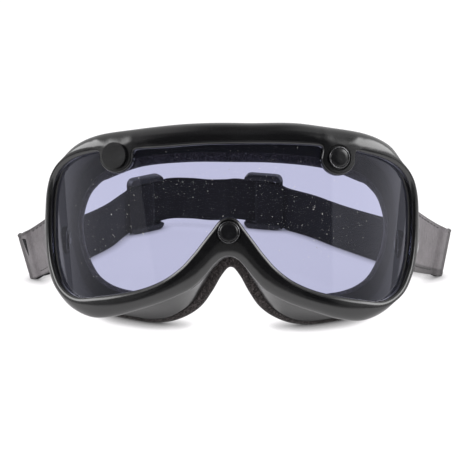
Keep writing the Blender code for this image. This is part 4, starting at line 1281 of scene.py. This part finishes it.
@dataclass
class Lens:
    """The bent smoke sheet, with its dust."""

    front: Front
    thickness: float = 0.0015
    columns: int = 120
    lanes: int = 26
    edge_soft: float = 0.0003
    specks: int = 300

    def edges(self, ring: list) -> tuple:
        """The sheet's upper and lower edge as arrays of (x, u), and its half width."""
        edge = np.array([self.front.lens_spot(station, 0.0) for station in ring])
        side, other = int(np.argmax(edge[:, 0])), int(np.argmin(edge[:, 0]))
        top = np.vstack((edge[other:], edge[: side + 1]))
        bottom = edge[side: other + 1][::-1]
        return top, bottom, min(edge[side, 0], -edge[other, 0])

    def build(self, ring: list) -> list:
        """Builds the sheet and its dust.

        Args:
            ring: The stations.

        Returns:
            The pieces.
        """
        top, bottom, reach = self.edges(ring)
        near = self.front.lip + self.front.lens_clearance
        rows = []
        for column in range(self.columns + 1):
            x = -reach * math.cos(math.pi * column / self.columns)
            high = np.interp(x, top[:, 0], top[:, 1])
            low = np.interp(x, bottom[:, 0], bottom[:, 1])
            if column in (0, self.columns):
                high, low = (high + low) / 2 + 0.0002, (high + low) / 2 - 0.0002
            soft = min(self.edge_soft, (high - low) * 0.2)
            shares = [k / self.lanes for k in range(self.lanes + 1)]
            rises = [high - soft - (high - low - 2 * soft) * share for share in shares]
            ring_points = [(rise, near) for rise in rises]
            ring_points += [(low, near + soft), (low, near + self.thickness - soft)]
            ring_points += [(rise, near + self.thickness) for rise in reversed(rises)]
            ring_points += [(high, near + self.thickness - soft), (high, near + soft)]
            rows.append([stood(self.front.sunk(np.array((x, rise)), depth)) for rise, depth in ring_points])
        sheet = body_from("smoke_sheet", combed(rows, False), SMOKE, 40.0)
        drills = []
        for where in self.front.snap_places():
            pin = [(0.0, 0.0), (0.00135, 0.0), (0.00135, -0.0075), (0.0, -0.0075)]
            drills.append(("DIFFERENCE", placed(turned(pin, 32), where)))
        carve(sheet, drills, 40.0)
        fit(sheet, "lens", Slot.LENS, "lens")
        return [sheet, self.dust(top, bottom, near)]

    def dust(self, top: np.ndarray, bottom: np.ndarray, near: float) -> bpy.types.Object:
        """Specks of dust and lint on the sheet's front, thicker in a few places.

        Args:
            top: The upper edge.
            bottom: The lower edge.
            near: The depth of the sheet's front.

        Returns:
            The piece.
        """
        draw = random.Random(11)
        drifts = ((0.042, 0.006, 0.012, 0.012, 220), (-0.060, 0.000, 0.010, 0.016, 110),
                  (-0.021, 0.022, 0.010, 0.006, 110), (0.018, 0.025, 0.016, 0.006, 70),
                  (0.0, 0.005, 0.045, 0.020, 240))
        bm = bmesh.new()
        for x0, u0, spread_x, spread_u, count in drifts:
            for _ in range(count):
                x, u = draw.gauss(x0, spread_x), draw.gauss(u0, spread_u)
                size = 0.00005 + 0.00011 * draw.random() ** 3
                turn = draw.uniform(0.0, math.tau)
                long = draw.choice((1.0, 1.0, 1.6, 3.2))
                high = np.interp(x, top[:, 0], top[:, 1]) - 0.004
                low = np.interp(x, bottom[:, 0], bottom[:, 1]) + 0.005
                if not low < u < high or abs(x) > 0.078:
                    continue
                out = self.front.normal(x)
                lay = Matrix(((-out[1], 0.0, out[0]), (out[0], 0.0, out[1]), (0.0, 1.0, 0.0))).to_4x4()
                spot = self.front.sunk(np.array((x, u)), near - size * 0.5)
                where = Matrix.Translation((spot[0], spot[2], spot[1])) @ lay @ Matrix.Rotation(turn, 4, "Z")
                where = STAND @ where @ Matrix.Diagonal((size * long, size, size * 0.6, 1.0))
                bmesh.ops.create_icosphere(bm, subdivisions=1, radius=1.0, matrix=where)
        piece = body_from("lens_dust", bm, DUST, 180.0)
        return fit(piece, "lens", Slot.LENS)


# ---------------------------------------------------------------- snaps


@dataclass
class Snap:
    """One snap fastener: cap and socket in the moulding, stud and eyelet on the lens."""

    word: str
    place: Matrix
    cap_radius: float = 0.0052
    cap_rise: float = 0.0014
    floor: float = -0.00065
    web_back: float = -0.0018
    lens_front: float = -0.0036
    lens_thickness: float = 0.0015

    def cap(self) -> list:
        """The cap's profile, a shallow dome inside a rim."""
        inner = self.cap_radius - 0.00075
        dome = [(inner * share, self.cap_rise * (1 - 0.10 * share ** 2 - 0.45 * share ** 7)) for share in np.linspace(0.0, 1.0, 18)]
        dome = [(0.0, self.cap_rise)] + dome[1:]
        post = -0.0019 - 0.00035
        return dome + [(inner + 0.0001, 0.00030), (self.cap_radius - 0.0001, 0.00015), (self.cap_radius - 0.0001, self.floor),
                       (0.0015, self.floor), (0.0015, post), (0.0, post)]

    def rim(self) -> list:
        """The bright rim's section round the dome."""
        middle, half = self.cap_radius - 0.00035, 0.00024
        made = []
        for step in range(14):
            angle = math.tau * step / 14
            made.append((middle + half * math.cos(angle), 0.00042 + half * 1.1 * math.sin(angle)))
        return made

    def build(self) -> list:
        """Builds the five pieces of the snap.

        Returns:
            The pieces.
        """
        socket_top = self.web_back - 0.00015
        socket = softened([
            (0.0018, socket_top), (0.0043, socket_top), (0.0043, socket_top - 0.00135),
            (0.0029, socket_top - 0.00135), (0.0029, socket_top - 0.0005), (0.0018, socket_top - 0.0005)],
            0.0002, True)
        foot = self.lens_front + 0.00015
        top = foot + 0.0008
        stud = [(0.0, top), (0.00133, top), (0.0019, top - 0.0002), (0.0019, top - 0.00036),
                (0.0016, top - 0.00052), (0.0016, top - 0.0006), (0.0023, top - 0.00064),
                (0.0023, foot), (0.00127, foot), (0.00127, top - 0.00036), (0.0, top - 0.00036)]
        behind = self.lens_front - self.lens_thickness - 0.00015
        tip = top - 0.00051
        eyelet = softened([
            (0.0, tip), (0.00105, tip), (0.00105, behind), (0.0040, behind), (0.0040, behind - 0.0003),
            (0.0037, behind - 0.0005), (0.0017, behind - 0.0005), (0.0012, behind - 0.00025), (0.0, behind - 0.00025)],
            0.0002)
        plan = (
            ("cap", self.cap(), ENAMEL, "frame", Slot.CAP, "snap_cap"),
            ("cap_rim", self.rim(), RIM, "frame", Slot.CAP, None),
            ("socket_ring", socket, STEEL, "frame", Slot.STEEL, "snap_socket"),
            ("stud_button", stud, STEEL, "lens", Slot.STEEL, "snap_stud"),
            ("eyelet_ring", eyelet, STEEL, "lens", Slot.STEEL, "snap_eyelet"),
        )
        made = []
        for part, profile, finish, body, slot, node in plan:
            piece = body_from(f"{self.word}_{part}", placed(turned(profile), self.place), finish, 50.0)
            nodes = [f"{self.word}_{node}"] if node else []
            made.append(fit(piece, body, slot, *nodes))
        return made


# ---------------------------------------------------------------- straps


def facing(path: Sequence[Vector], ups: Sequence[Vector]) -> list:
    """The way a band along the path faces at each point."""
    made = []
    for index, up in enumerate(ups):
        way = path[min(index + 1, len(path) - 1)] - path[max(index - 1, 0)]
        made.append(way.cross(up).normalized())
    return made


def lerped(start: Vector, end: Vector, way_in: Vector, way_out: Vector, count: int) -> list:
    """Points on a smooth curve that leaves and arrives along two ways."""
    made = []
    reach = (end - start).length
    for t in (step / count for step in range(1, count + 1)):
        turn = 3 * t ** 2 - 2 * t ** 3
        bend = way_in * (t ** 3 - 2 * t ** 2 + t) + way_out * (t ** 3 - t ** 2)
        made.append((start.lerp(end, turn) + bend * reach, turn, t))
    return made


Relief = Callable[[float, float, float], float]


@dataclass
class Band:
    """A flat band along a path, standing up along its ups, with round edges."""

    path: list
    ups: list
    widths: list
    thickness: float
    lanes: int = 18
    edge: float = 0.0004
    shift: float = 0.0
    relief: Optional[Relief] = None

    def offsets(self, width: float) -> list:
        """The places across the band, close together at its edges, with their fullness."""
        edge = min(self.edge, width * 0.25)
        round_in = [(-width / 2 + edge * (1 - math.cos(a)), math.sin(a)) for a in np.linspace(0.15, math.pi / 2, 4)]
        flat = np.linspace(-width / 2 + edge, width / 2 - edge, self.lanes + 1)[1:-1]
        middle = [(place, 1.0) for place in flat]
        round_out = [(-across, full) for across, full in reversed(round_in)]
        return round_in + middle + round_out

    def shape(self) -> bmesh.types.BMesh:
        """The band's closed skin, with its weave map."""
        rows = []
        faces = facing(self.path, self.ups)
        run = 0.0
        for index, (point, up, width) in enumerate(zip(self.path, self.ups, self.widths)):
            if index:
                run += (point - self.path[index - 1]).length
            centre = point + faces[index] * self.shift
            front, back = [], []
            for across, full in self.offsets(width):
                half = self.thickness / 2 * full
                lift = self.relief(run, across, width) if self.relief else 0.0
                front.append(centre + up * across - faces[index] * (half + lift))
                back.append(centre + up * across + faces[index] * half)
            rows.append(front + back[::-1])
        return combed(rows, False, True)


@dataclass
class StrapSide:
    """One side of the strap in plan: its tab, the fold at the tab's end and its slider."""

    side: int
    word: str
    fold_shares: tuple
    run_shares: tuple
    slider_shares: tuple
    turn: float
    lift: float = REFERENCE.z
    shift_x: float = REFERENCE.x
    shift_y: float = REFERENCE.y
    half_width: float = 0.1120
    plan_depth: float = 0.1750
    tab_width: float = 0.0275
    tab_end: float = 0.0214 * 0.3267
    straight: float = 0.0012
    leather: float = 0.0011
    ply_gap: float = 0.0003
    gap: float = 0.0003
    slit_width: float = 0.0021
    slit_inset: float = 0.0042
    elastic: float = 0.0011
    slider_height: float = 0.0330
    slider_bar_width: float = 0.0038
    slider_travel: float = 0.0030
    sewn_reach: float = 0.0120
    low_run: float = 0.0128
    rivet_head: float = 0.0042
    flare: float = 0.0
    outward_share: float = 0.25
    spread_share: float = 0.20
    fine: int = 6
    path: list = field(default_factory=list)
    ups: list = field(default_factory=list)
    widths: list = field(default_factory=list)

    def __post_init__(self) -> None:
        """Places the rivet, the fold, the run and the slider."""
        place = STAND @ rivet_place(self.side)
        self.out = Vector((self.side, 0.0, 0.0))
        self.rivet = place.translation
        low, high = (self.plan(x, y) for x, y in self.fold_shares)
        lean = (high - low) / self.tab_width
        self.fold_up = Vector((lean.x, lean.y, math.sqrt(1 - lean.length_squared)))
        self.fold = low + self.fold_up * self.tab_width / 2 + Vector((0.0, 0.0, self.gap))
        self.run = [self.plan(x, y) for x, y in self.run_shares]
        self.slider = self.plan(*self.slider_shares) + UPRIGHT * self.slider_height / 2
        self.along = Vector((math.cos(self.turn), math.sin(self.turn), 0.0))
        self.to_tab = self.along * self.side
        self.plot_tab()

    def plan(self, x: float, y: float) -> Vector:
        """A point on the floor from its shares of the strap's half width and depth."""
        return Vector((x * self.half_width + self.shift_x, y * self.plan_depth + self.shift_y, 0.0))

    def plot_tab(self) -> None:
        """Plots the tab's middle line, with its ups and widths."""
        back = Vector((0.0, math.cos(LEAN), -math.sin(LEAN)))
        up = Vector((0.0, math.sin(LEAN), math.cos(LEAN)))
        start = self.rivet + self.out * (self.gap + self.leather + self.ply_gap / 2)
        end_way = ((self.fold - start).normalized() + self.out * self.outward_share).normalized()
        turns = 3 * self.fine
        for step in range(turns + 1):
            angle = math.pi / 2 * step / turns
            self.path.append(start - back * self.tab_end * math.cos(angle))
            self.ups.append(up)
            self.widths.append(2 * self.tab_end * max(math.sin(angle), 0.15))
        leave = start + back * (self.rivet_head + self.straight)
        self.path.append(leave)
        self.ups.append(up)
        self.widths.append(2 * self.tab_end)
        for point, turn, t in lerped(leave, self.fold, back, end_way, 8 * self.fine):
            grow = min(t * 4.0, 1.0)
            grow = 3 * grow ** 2 - 2 * grow ** 3
            flare = self.flare * grow * (1 - t) * 1.4
            self.ups.append(up.lerp(self.fold_up, turn).normalized())
            self.path.append(point + self.ups[-1] * flare * 0.6)
            self.widths.append(2 * self.tab_end * (1 - grow) + self.tab_width * grow + flare)
        self.way = (end_way - self.fold_up * end_way.dot(self.fold_up)).normalized()
        self.face = facing(self.path, self.ups)[-1]
        if self.face.dot(self.out) < 0:
            self.face.negate()

    def ply_shift(self, level: int) -> float:
        """How far a ply lies off the tab's middle line, -1 the backing and 1 the outer."""
        way = facing(self.path, self.ups)[0].dot(self.out)
        return level * way * (self.leather + self.ply_gap) / 2

    def slit_place(self) -> Matrix:
        """Axes at the middle of the slit: along the tab, up its edge and out."""
        centre = self.fold - self.way * (self.slit_inset + self.slit_width / 2)
        axes = Matrix((self.way, self.fold_up, self.face)).transposed().to_4x4()
        return Matrix.Translation(centre) @ axes

    def turn_points(self, fine: int = 9) -> list:
        """The elastic's way round the tab's end strip, from the slit to the fold."""
        half = self.leather + self.ply_gap / 2
        near = self.gap + self.elastic / 2
        slit = self.slit_width / 2
        places = [(-self.slit_inset - slit, -half - near), (-self.slit_inset - slit, 0.0)]
        for step in range(fine + 1):
            angle = math.pi - math.pi / 2 * step / fine
            across = -self.slit_inset + near * 0.4 + (slit + near * 0.4) * math.cos(angle)
            places.append((across, half + near * math.sin(angle)))
        for step in range(fine + 1):
            angle = math.pi / 2 - math.pi / 2 * step / fine
            places.append((near * 1.4 * math.cos(angle) - near * 0.4, half + near * math.sin(angle)))
        places.append((near, -half))
        return [self.fold + self.way * a + self.face * b for a, b in places]

    def run_points(self) -> tuple:
        """The run from the fold to the slider's straight stretch, with its ups."""
        turn = self.turn_points()
        fold = turn[-1]
        chain = [(*turn[-2], *self.fold_up), (*fold, *self.fold_up)]
        total = len(self.run) + 1
        for number, point in enumerate(self.run, 1):
            share = number / total
            height = fold.z + (self.low_run - fold.z) * min(share * 3.0, 1.0)
            chain.append((point.x, point.y, height, *self.fold_up.lerp(UPRIGHT, share)))
        straight = self.sewn_reach + self.slider_travel
        for reach, height in ((straight, self.low_run), (0.0060, self.slider.z - 0.0006)):
            before = self.slider + self.to_tab * reach
            chain.append((before.x, before.y, height, *UPRIGHT))
        chain.append((*(self.slider - self.to_tab * straight), *UPRIGHT))
        rows = flowing(chain, [1] + [2 * self.fine] * total + [self.fine, 1], False)[1:-1]
        return [Vector(row[:3]) for row in rows], [Vector(row[3:]).normalized() for row in rows]

    def leg_points(self) -> tuple:
        """The inner ply, from the slit to its end beside the slider, with its ups."""
        path, ups = (values[: -self.fine] for values in self.run_points())
        ways = facing(path, ups)
        sign = 1 if ways[-1].y < 0 else -1
        slit = self.turn_points()[0]
        close = self.elastic + self.ply_gap
        spread = abs((slit - path[0]).dot(ways[0])) - close
        lengths = np.cumsum([0.0] + [(b - a).length for a, b in zip(path, path[1:])])
        offsets = []
        for length in lengths:
            t = min(length / (lengths[-1] * 3 * self.spread_share), 1.0)
            offsets.append(sign * (close + spread * (1 - t) ** 2 * (1 + 2 * t)))
        made = [point + way * off for point, way, off in zip(path, ways, offsets)]
        stop = self.slider + self.to_tab * (self.slider_bar_width + self.slider_travel + self.gap)
        stop.z -= 0.0010
        inner = Vector((self.along.y, -self.along.x, 0.0)) * close
        return made[1:] + [stop + inner], ups[1:] + [ups[-1]]

    def straight_end(self) -> Vector:
        """Where the elastic leaves the slider for the back run."""
        return self.slider - self.to_tab * (self.sewn_reach + self.slider_travel)


LEFT = dict(
    side=-1, word="left",
    fold_shares=((-0.948, 0.494), (-0.993, 0.470)),
    run_shares=((-0.850, 0.572), (-0.740, 0.664), (-0.648, 0.764)),
    slider_shares=(-0.478, 0.925), turn=math.radians(36.0),
)
RIGHT = dict(
    side=1, word="right",
    fold_shares=((0.970, 0.553), (1.000, 0.541)),
    run_shares=((0.870, 0.598), (0.700, 0.682), (0.530, 0.778), (0.385, 0.880)),
    slider_shares=(0.131, 0.963), turn=math.radians(-12.0), flare=0.0036,
)
BACK_RUN = ((-0.250, 0.983), (-0.150, 0.969), (-0.060, 0.973))


@dataclass
class TabSet:
    """One leather tab of two stitched plies, with its rivet."""

    plan: StrapSide
    seam_top: float = 0.0018
    seam_low: float = 0.0028
    seam_sink: float = 0.00022
    roll: float = 0.00012
    fold_reach: float = 0.0090
    fold_rise: float = 0.0015
    fold_over: float = 0.0018
    strap_width: float = 0.0250
    stitch: float = 0.0024
    stitch_gap: float = 0.0009
    upright: float = 1.0

    def relief(self, run: float, across: float, width: float) -> float:
        """How high the leather stands: a rolled edge, a sunk seam line and the folded end."""
        up = across * self.upright
        inset = width / 2 - abs(up)
        seam = self.seam_top if up > 0 else self.seam_low
        sink = math.exp(-((inset - seam) / 0.0003) ** 2)
        roll = math.exp(-((inset - seam * 0.45) / 0.0008) ** 2)
        fade = min(max((run - 0.006) / 0.006, 0.0), 1.0)
        bend = min(max((run - self.length + self.fold_reach) / 0.0024, 0.0), 1.0)
        over = min(max((run - self.length - self.fold_over * 0.35) / (self.fold_over * 0.65), 0.0), 1.0)
        bend = bend * bend * (3 - 2 * bend)
        rise = self.fold_rise * bend * math.sqrt(max(1 - over * over, 0.0))
        return (self.roll * roll - self.seam_sink * sink) * fade + rise

    @property
    def length(self) -> float:
        """The tab's length along its middle line, up to its fold."""
        path = self.plan.path
        return sum((b - a).length for a, b in zip(path, path[1:]))

    def cuts(self) -> list:
        """The rivet's hole and the slit, as tools."""
        plan = self.plan
        turn = Matrix.Rotation(plan.side * math.pi / 2, 4, "Y")
        hole = turned([(0.0, -0.002), (0.0019, -0.002), (0.0019, 0.006), (0.0, 0.006)], 32)
        slit = block((plan.slit_width, self.strap_width + 0.0012, 0.008), plan.slit_place(), 0.0004)
        bore = ("DIFFERENCE", placed(hole, Matrix.Translation(plan.rivet) @ turn))
        return [bore, ("DIFFERENCE", slit)]

    def build(self) -> list:
        """Builds the plies, the stitching and the rivet.

        Returns:
            The pieces.
        """
        plan, made = self.plan, []
        out_way = facing(plan.path, plan.ups)[0].dot(plan.out)
        for part, level in (("tab_back", -1), ("tab_face", 1)):
            path, ups, widths = list(plan.path), list(plan.ups), list(plan.widths)
            if level == 1:
                for share in (0.2, 0.35, 0.5, 0.65, 0.78, 0.9, 1.0):
                    path.append(plan.fold + plan.way * self.fold_over * share)
                    ups.append(plan.fold_up)
                    widths.append(plan.tab_width - 0.0006 * share)
            band = Band(path, ups, widths, plan.leather, 40, 0.00045, plan.ply_shift(level))
            shape = self.outer(band, level, out_way)
            piece = body_from(f"{plan.word}_{part}", shape, LEATHER, 50.0)
            carve(piece, self.cuts()[:1] if level == 1 else self.cuts(), 50.0)
            node = "tab_outer" if level == 1 else "tab_backing"
            made.append(fit(piece, "strap", Slot.LEATHER, f"{plan.word}_{node}"))
        made.append(self.stitching())
        made += self.rivet()
        return made

    def outer(self, band: Band, level: int, out_way: float) -> bmesh.types.BMesh:
        """A ply's skin, with the relief on the side that shows."""
        if level == 1 and out_way > 0:
            band.ups = [-up for up in band.ups]
            band.shift = -band.shift
        self.upright = -1.0 if out_way > 0 else 1.0
        if level == 1:
            band.relief = self.relief
        return band.shape()

    def seam_line(self) -> list:
        """The seam's way along the top, the end and the bottom of the tab."""
        plan = self.plan
        height = plan.leather + plan.ply_gap / 2
        ways = [way * (1 if way.dot(plan.out) > 0 else -1) for way in facing(plan.path, plan.ups)]
        start = next(k for k, width in enumerate(plan.widths) if k > 3 * plan.fine)
        top, low = [], []
        for k in range(start + 6, len(plan.path)):
            lift = plan.path[k] + ways[k] * (height - 0.00002)
            top.append(lift + plan.ups[k] * (plan.widths[k] / 2 - self.seam_top))
            low.append(lift - plan.ups[k] * (plan.widths[k] / 2 - self.seam_low))
        stop = next(k for k, p in enumerate(top) if (p - top[-1]).length < self.fold_reach)
        return [top[:stop], low[:stop]]

    def stitching(self) -> bpy.types.Object:
        """Short threads along the seam."""
        bm = bmesh.new()
        for line in self.seam_line():
            lengths = np.cumsum([0.0] + [(b - a).length for a, b in zip(line, line[1:])])
            pitch = self.stitch + self.stitch_gap
            table = np.array([tuple(point) for point in line])
            for start in np.arange(0.0004, lengths[-1] - self.stitch, pitch):
                ends = [Vector([np.interp(s, lengths, table[:, k]) for k in range(3)]) for s in (start, start + self.stitch)]
                lay_thread(bm, ends[0], ends[1], 0.00021)
        piece = body_from(f"{self.plan.word}_tab_stitching", bm, THREAD, 180.0)
        return fit(piece, "strap", Slot.LEATHER)

    def rivet(self) -> list:
        """The domed rivet through the tab and the boss, with its burr inside."""
        plan = self.plan
        head = plan.gap + 2 * plan.leather + plan.ply_gap + 0.00015
        inner = -0.0069 - 0.0008 - 0.0003
        radius = plan.rivet_head
        dome = [(radius * share, head + 0.0011 * math.sqrt(max(1 - share ** 2.4, 0.0)) * 0.9 + 0.0001) for share in np.linspace(0.0, 0.985, 12)]
        dome += [(radius, head + 0.0001), (radius, head), (0.0016, head), (0.0016, inner), (0.0, inner)]
        top = -0.0069 - 0.00015
        burr = softened([(0.00175, top), (0.0042, top), (0.0042, top - 0.0008), (0.00175, top - 0.0008)], 0.0002, True)
        where = STAND @ rivet_place(plan.side)
        first = body_from(f"{plan.word}_rivet_head", placed(turned(dome), where), STEEL, 50.0)
        second = body_from(f"{plan.word}_rivet_washer", placed(turned(burr), where), WASHER, 50.0)
        return [fit(first, "frame", Slot.STEEL, f"{plan.word}_rivet"),
                fit(second, "frame", Slot.STEEL, f"{plan.word}_rivet_burr")]


def lay_thread(bm: bmesh.types.BMesh, start: Vector, end: Vector, radius: float) -> None:
    """Adds one stitch, a short thread with round ends.

    Args:
        bm: What it is added to.
        start: One end.
        end: The other end.
        radius: The thread's radius.
    """
    way = end - start
    turn = way.to_track_quat("Z", "Y").to_matrix().to_4x4()
    where = Matrix.Translation((start + end) / 2) @ turn @ Matrix.Diagonal((radius, radius, way.length / 2, 1.0))
    bmesh.ops.create_uvsphere(bm, u_segments=8, v_segments=6, radius=1.0, matrix=where)


@dataclass
class HeadStrap:
    """The elastic head strap, its sewn ends and its two sliders."""

    left: StrapSide
    right: StrapSide
    width: float = 0.0250
    thickness: float = 0.0011
    back_steps: int = 14

    def line(self) -> tuple:
        """The whole elastic from the left leg's end to the right leg's end, with its ups."""
        path, ups = [], []
        for side in (self.left, self.right):
            leg, leg_ups = side.leg_points()
            turn = side.turn_points()
            run, run_ups = side.run_points()
            path.append(leg[::-1] + turn[:-1] + run + [side.straight_end()])
            ups.append(leg_ups[::-1] + [side.fold_up] * (len(turn) - 1) + run_ups + [UPRIGHT.copy()])
        back = [self.left.plan(x, y) + UPRIGHT * self.left.slider_height / 2 for x, y in BACK_RUN]
        chain = [path[0][-2], path[0][-1], *back, path[1][-1], path[1][-2]]
        steps = [1] + [self.back_steps] * (len(back) + 1) + [1]
        middle = [Vector(p) for p in flowing(chain, steps, False)][2:-2]
        return path[0] + middle + path[1][::-1], ups[0] + [UPRIGHT.copy()] * len(middle) + ups[1][::-1]

    def build(self) -> list:
        """Builds the strap, its sewn ends and its sliders.

        Returns:
            The pieces.
        """
        path, ups = self.line()
        band = Band(path, ups, [self.width] * len(path), self.thickness, 18, 0.0005)
        strap = body_from("head_strap", band.shape(), ELASTIC, 60.0)
        made = [fit(strap, "strap", Slot.ELASTIC, "elastic_strap")]
        for side in (self.left, self.right):
            made.append(self.sewn_end(side))
            made.append(self.slider(side))
        return made

    def sewn_end(self, side: StrapSide) -> bpy.types.Object:
        """The elastic's end, round the slider's middle bar and back over the leg."""
        near = self.thickness + side.ply_gap
        middle = near + self.thickness / 2 + side.ply_gap + 0.0007
        far = 2 * middle - near
        half = side.slider_bar_width / 2
        spots = [(side.sewn_reach, 2 * near), (half + 4 * self.thickness, 2 * near),
                 (half + 2.6 * self.thickness, near + far / 2), (half + 1.2 * self.thickness, far), (0.0, far)]
        radius = (far - near) / 2
        for step in range(13):
            angle = math.pi / 2 + math.pi * step / 12
            spots.append((-half + radius * math.cos(angle), middle + radius * math.sin(angle)))
        spots.append((half + 1.2 * self.thickness, near))
        turn = Matrix.Translation(side.slider) @ Matrix.Rotation(side.turn, 4, "Z")
        sag = (side.slider.z - side.low_run) * 0.85
        path = [turn @ Vector((side.side * s, -m, -sag * max(s / side.sewn_reach - 0.3, 0.0) / 0.7)) for s, m in spots]
        band = Band(path, [UPRIGHT.copy()] * len(path), [self.width] * len(path), self.thickness, 18, 0.0005)
        piece = body_from(f"{side.word}_sewn_loop", band.shape(), ELASTIC, 60.0)
        return fit(piece, f"{side.word}_slider", Slot.ELASTIC, f"{side.word}_sewn_end")

    def slider(self, side: StrapSide) -> bpy.types.Object:
        """A slider with softened edges, shaped from its own CAD solid."""
        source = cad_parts[f"{side.word}_slider"]
        bm = bmesh.new()
        bm.from_mesh(source.data)
        bmesh.ops.remove_doubles(bm, verts=bm.verts, dist=1e-6)
        bmesh.ops.dissolve_limit(bm, angle_limit=math.radians(4.0), verts=bm.verts, edges=bm.edges)
        sharp = [edge for edge in bm.edges if len(edge.link_faces) == 2 and edge.calc_face_angle() > math.radians(30.0)]
        bmesh.ops.bevel(
            bm, geom=sharp, offset=0.00035, segments=2, profile=0.5,
            affect="EDGES", material=-1, clamp_overlap=True,
        )
        piece = body_from(f"{side.word}_buckle", bm, PLASTIC, 45.0)
        return fit(piece, f"{side.word}_slider", Slot.PLASTIC, f"{side.word}_slider")


# ---------------------------------------------------------------- studio


@dataclass
class Studio:
    """The camera, the white sweep and the soft light round it."""

    azimuth: float = math.radians(1.8)
    elevation: float = math.radians(20.0)
    distance: float = 0.700
    focal: float = 117.8
    image: int = 460
    across_pixels: float = 1.6
    outline_depth: float = 0.044
    room: float = 0.75

    def axes(self) -> tuple:
        """The camera's right, up and backward ways."""
        a, e = self.azimuth, self.elevation
        back = Vector((math.sin(a) * math.cos(e), -math.cos(a) * math.cos(e), math.sin(e)))
        right = Vector((math.cos(a), math.sin(a), 0.0))
        return right, back.cross(right), back

    def camera(self) -> None:
        """Places the camera as the photograph's."""
        right, up, back = self.axes()
        scale = self.focal / 36.0 * self.image / self.distance
        middle = stood((0.0, 0.0, self.outline_depth))
        offset = (middle - REFERENCE).dot(right) - self.across_pixels / scale
        where = REFERENCE + back * self.distance + right * offset
        data = bpy.data.cameras.new("studio camera")
        data.lens, data.sensor_width, data.clip_start = self.focal, 36.0, 0.01
        data.dof.use_dof = False
        made = bpy.data.objects.new("studio camera", data)
        turn = Matrix((right, up, back)).transposed().to_4x4()
        made.matrix_world = Matrix.Translation(where) @ turn
        bpy.context.scene.collection.objects.link(made)
        bpy.context.scene.camera = made

    def floor(self) -> None:
        """Lays the white sweep."""
        bm = bmesh.new()
        bmesh.ops.create_grid(bm, x_segments=8, y_segments=8, size=3.0)
        body_from("sweep", bm, StudioFloor(), 30.0)

    def world(self) -> None:
        """Lights the room: pale walls beside and behind, dark round the camera."""
        world = bpy.data.worlds.new("studio room")
        bpy.context.scene.world = world
        world.use_nodes = True
        board = Board(world.node_tree)
        way = board.node("ShaderNodeTexCoord", output="Generated")
        across, deep, high = board.split(way)
        turn = across._sum("ARCTAN2", across, deep * -1.0)
        front = abs(turn)
        lean = ((high - 0.287) * 4.0).most(-0.12).least(0.12) * (turn * -1.0).above(0.0, 0.05)
        lean = lean + turn.above(0.0, 0.05) * 0.10
        side = (front - lean).above(math.radians(35.7), math.radians(37.2))
        ceiling = high.above(0.64, 0.90)
        box = (abs(across) + (high - 0.5).least(0.0) * 0.5).above(0.66, 0.78) * high.above(0.21, 0.33)
        top = abs(across).above(0.08, 0.42) * deep.above(-0.35, -0.05) * 0.50 + deep.above(0.05, 0.50) * 0.22 + 0.12
        wing = (front.above(math.radians(50.0), math.radians(100.0)) * 0.50 + 0.30) * (across.above(-0.30, 0.30) * 0.35 + 1.0)
        mirrored = side * wing + (1.0 - side) * 0.03
        mirrored = mirrored * (1.0 - ceiling) + ceiling * top + box * 4.2
        rays = board.node("ShaderNodeLightPath")
        glossy = Wire(board, rays.socket.node.outputs["Is Glossy Ray"])
        seen = Wire(board, rays.socket.node.outputs["Is Camera Ray"]).most(
            Wire(board, rays.socket.node.outputs["Is Transmission Ray"])
        )
        strength = seen + (1.0 - seen) * (glossy * mirrored + (1.0 - glossy) * self.room)
        sky = board.node("ShaderNodeBackground", {}, {"Color": tint((1.0, 1.0, 1.0)), "Strength": strength})
        board.node_out("ShaderNodeOutputWorld", sky)

    def lamp(self, name: str, place: tuple, aim: tuple, size: tuple, power: float, glossy: bool) -> None:
        """Hangs one soft lamp.

        Args:
            name: The lamp's name.
            place: Where it hangs.
            aim: What it points at.
            size: Its width and height.
            power: Its power in watts.
            glossy: Whether it is mirrored in the goggles.
        """
        data = bpy.data.lights.new(name, "AREA")
        data.shape, data.size, data.size_y, data.energy = "RECTANGLE", *size, power
        made = bpy.data.objects.new(name, data)
        way = Vector(aim) - Vector(place)
        made.matrix_world = Matrix.Translation(place) @ way.to_track_quat("-Z", "Y").to_matrix().to_4x4()
        made.visible_camera = False
        made.visible_glossy = glossy
        made.visible_transmission = False
        bpy.context.scene.collection.objects.link(made)

    def build(self) -> None:
        """Sets up the whole studio."""
        scene = bpy.context.scene
        scene.view_settings.view_transform = "Standard"
        self.camera()
        self.floor()
        self.world()
        self.lamp("top lamp", (0.0, -0.3, 1.8), (0.0, 0.0, 0.03), (1.4, 1.2), 8.0, False)
        self.lamp("left lamp", (-0.95, -0.55, 0.95), (0.0, -0.03, 0.05), (0.7, 0.7), 5.0, False)
        self.lamp("right lamp", (0.95, -0.55, 0.95), (0.0, -0.03, 0.05), (0.7, 0.7), 5.0, False)


# ---------------------------------------------------------------- build


def main() -> None:
    """Builds the goggles and the studio."""
    logging.basicConfig(level=logging.INFO, format="%(name)s %(message)s")
    Studio().build()
    front = Front()
    ring = front.stations()
    Moulding(front).build(ring)
    Lining(front).build(ring)
    Lens(front).build(ring)
    for word, place in zip(("left", "right", "nose"), front.snap_places()):
        Snap(word, place).build()
    left, right = StrapSide(**LEFT), StrapSide(**RIGHT)
    for side in (left, right):
        TabSet(side).build()
    HeadStrap(left, right).build()


if __name__ == "__main__":
    main()
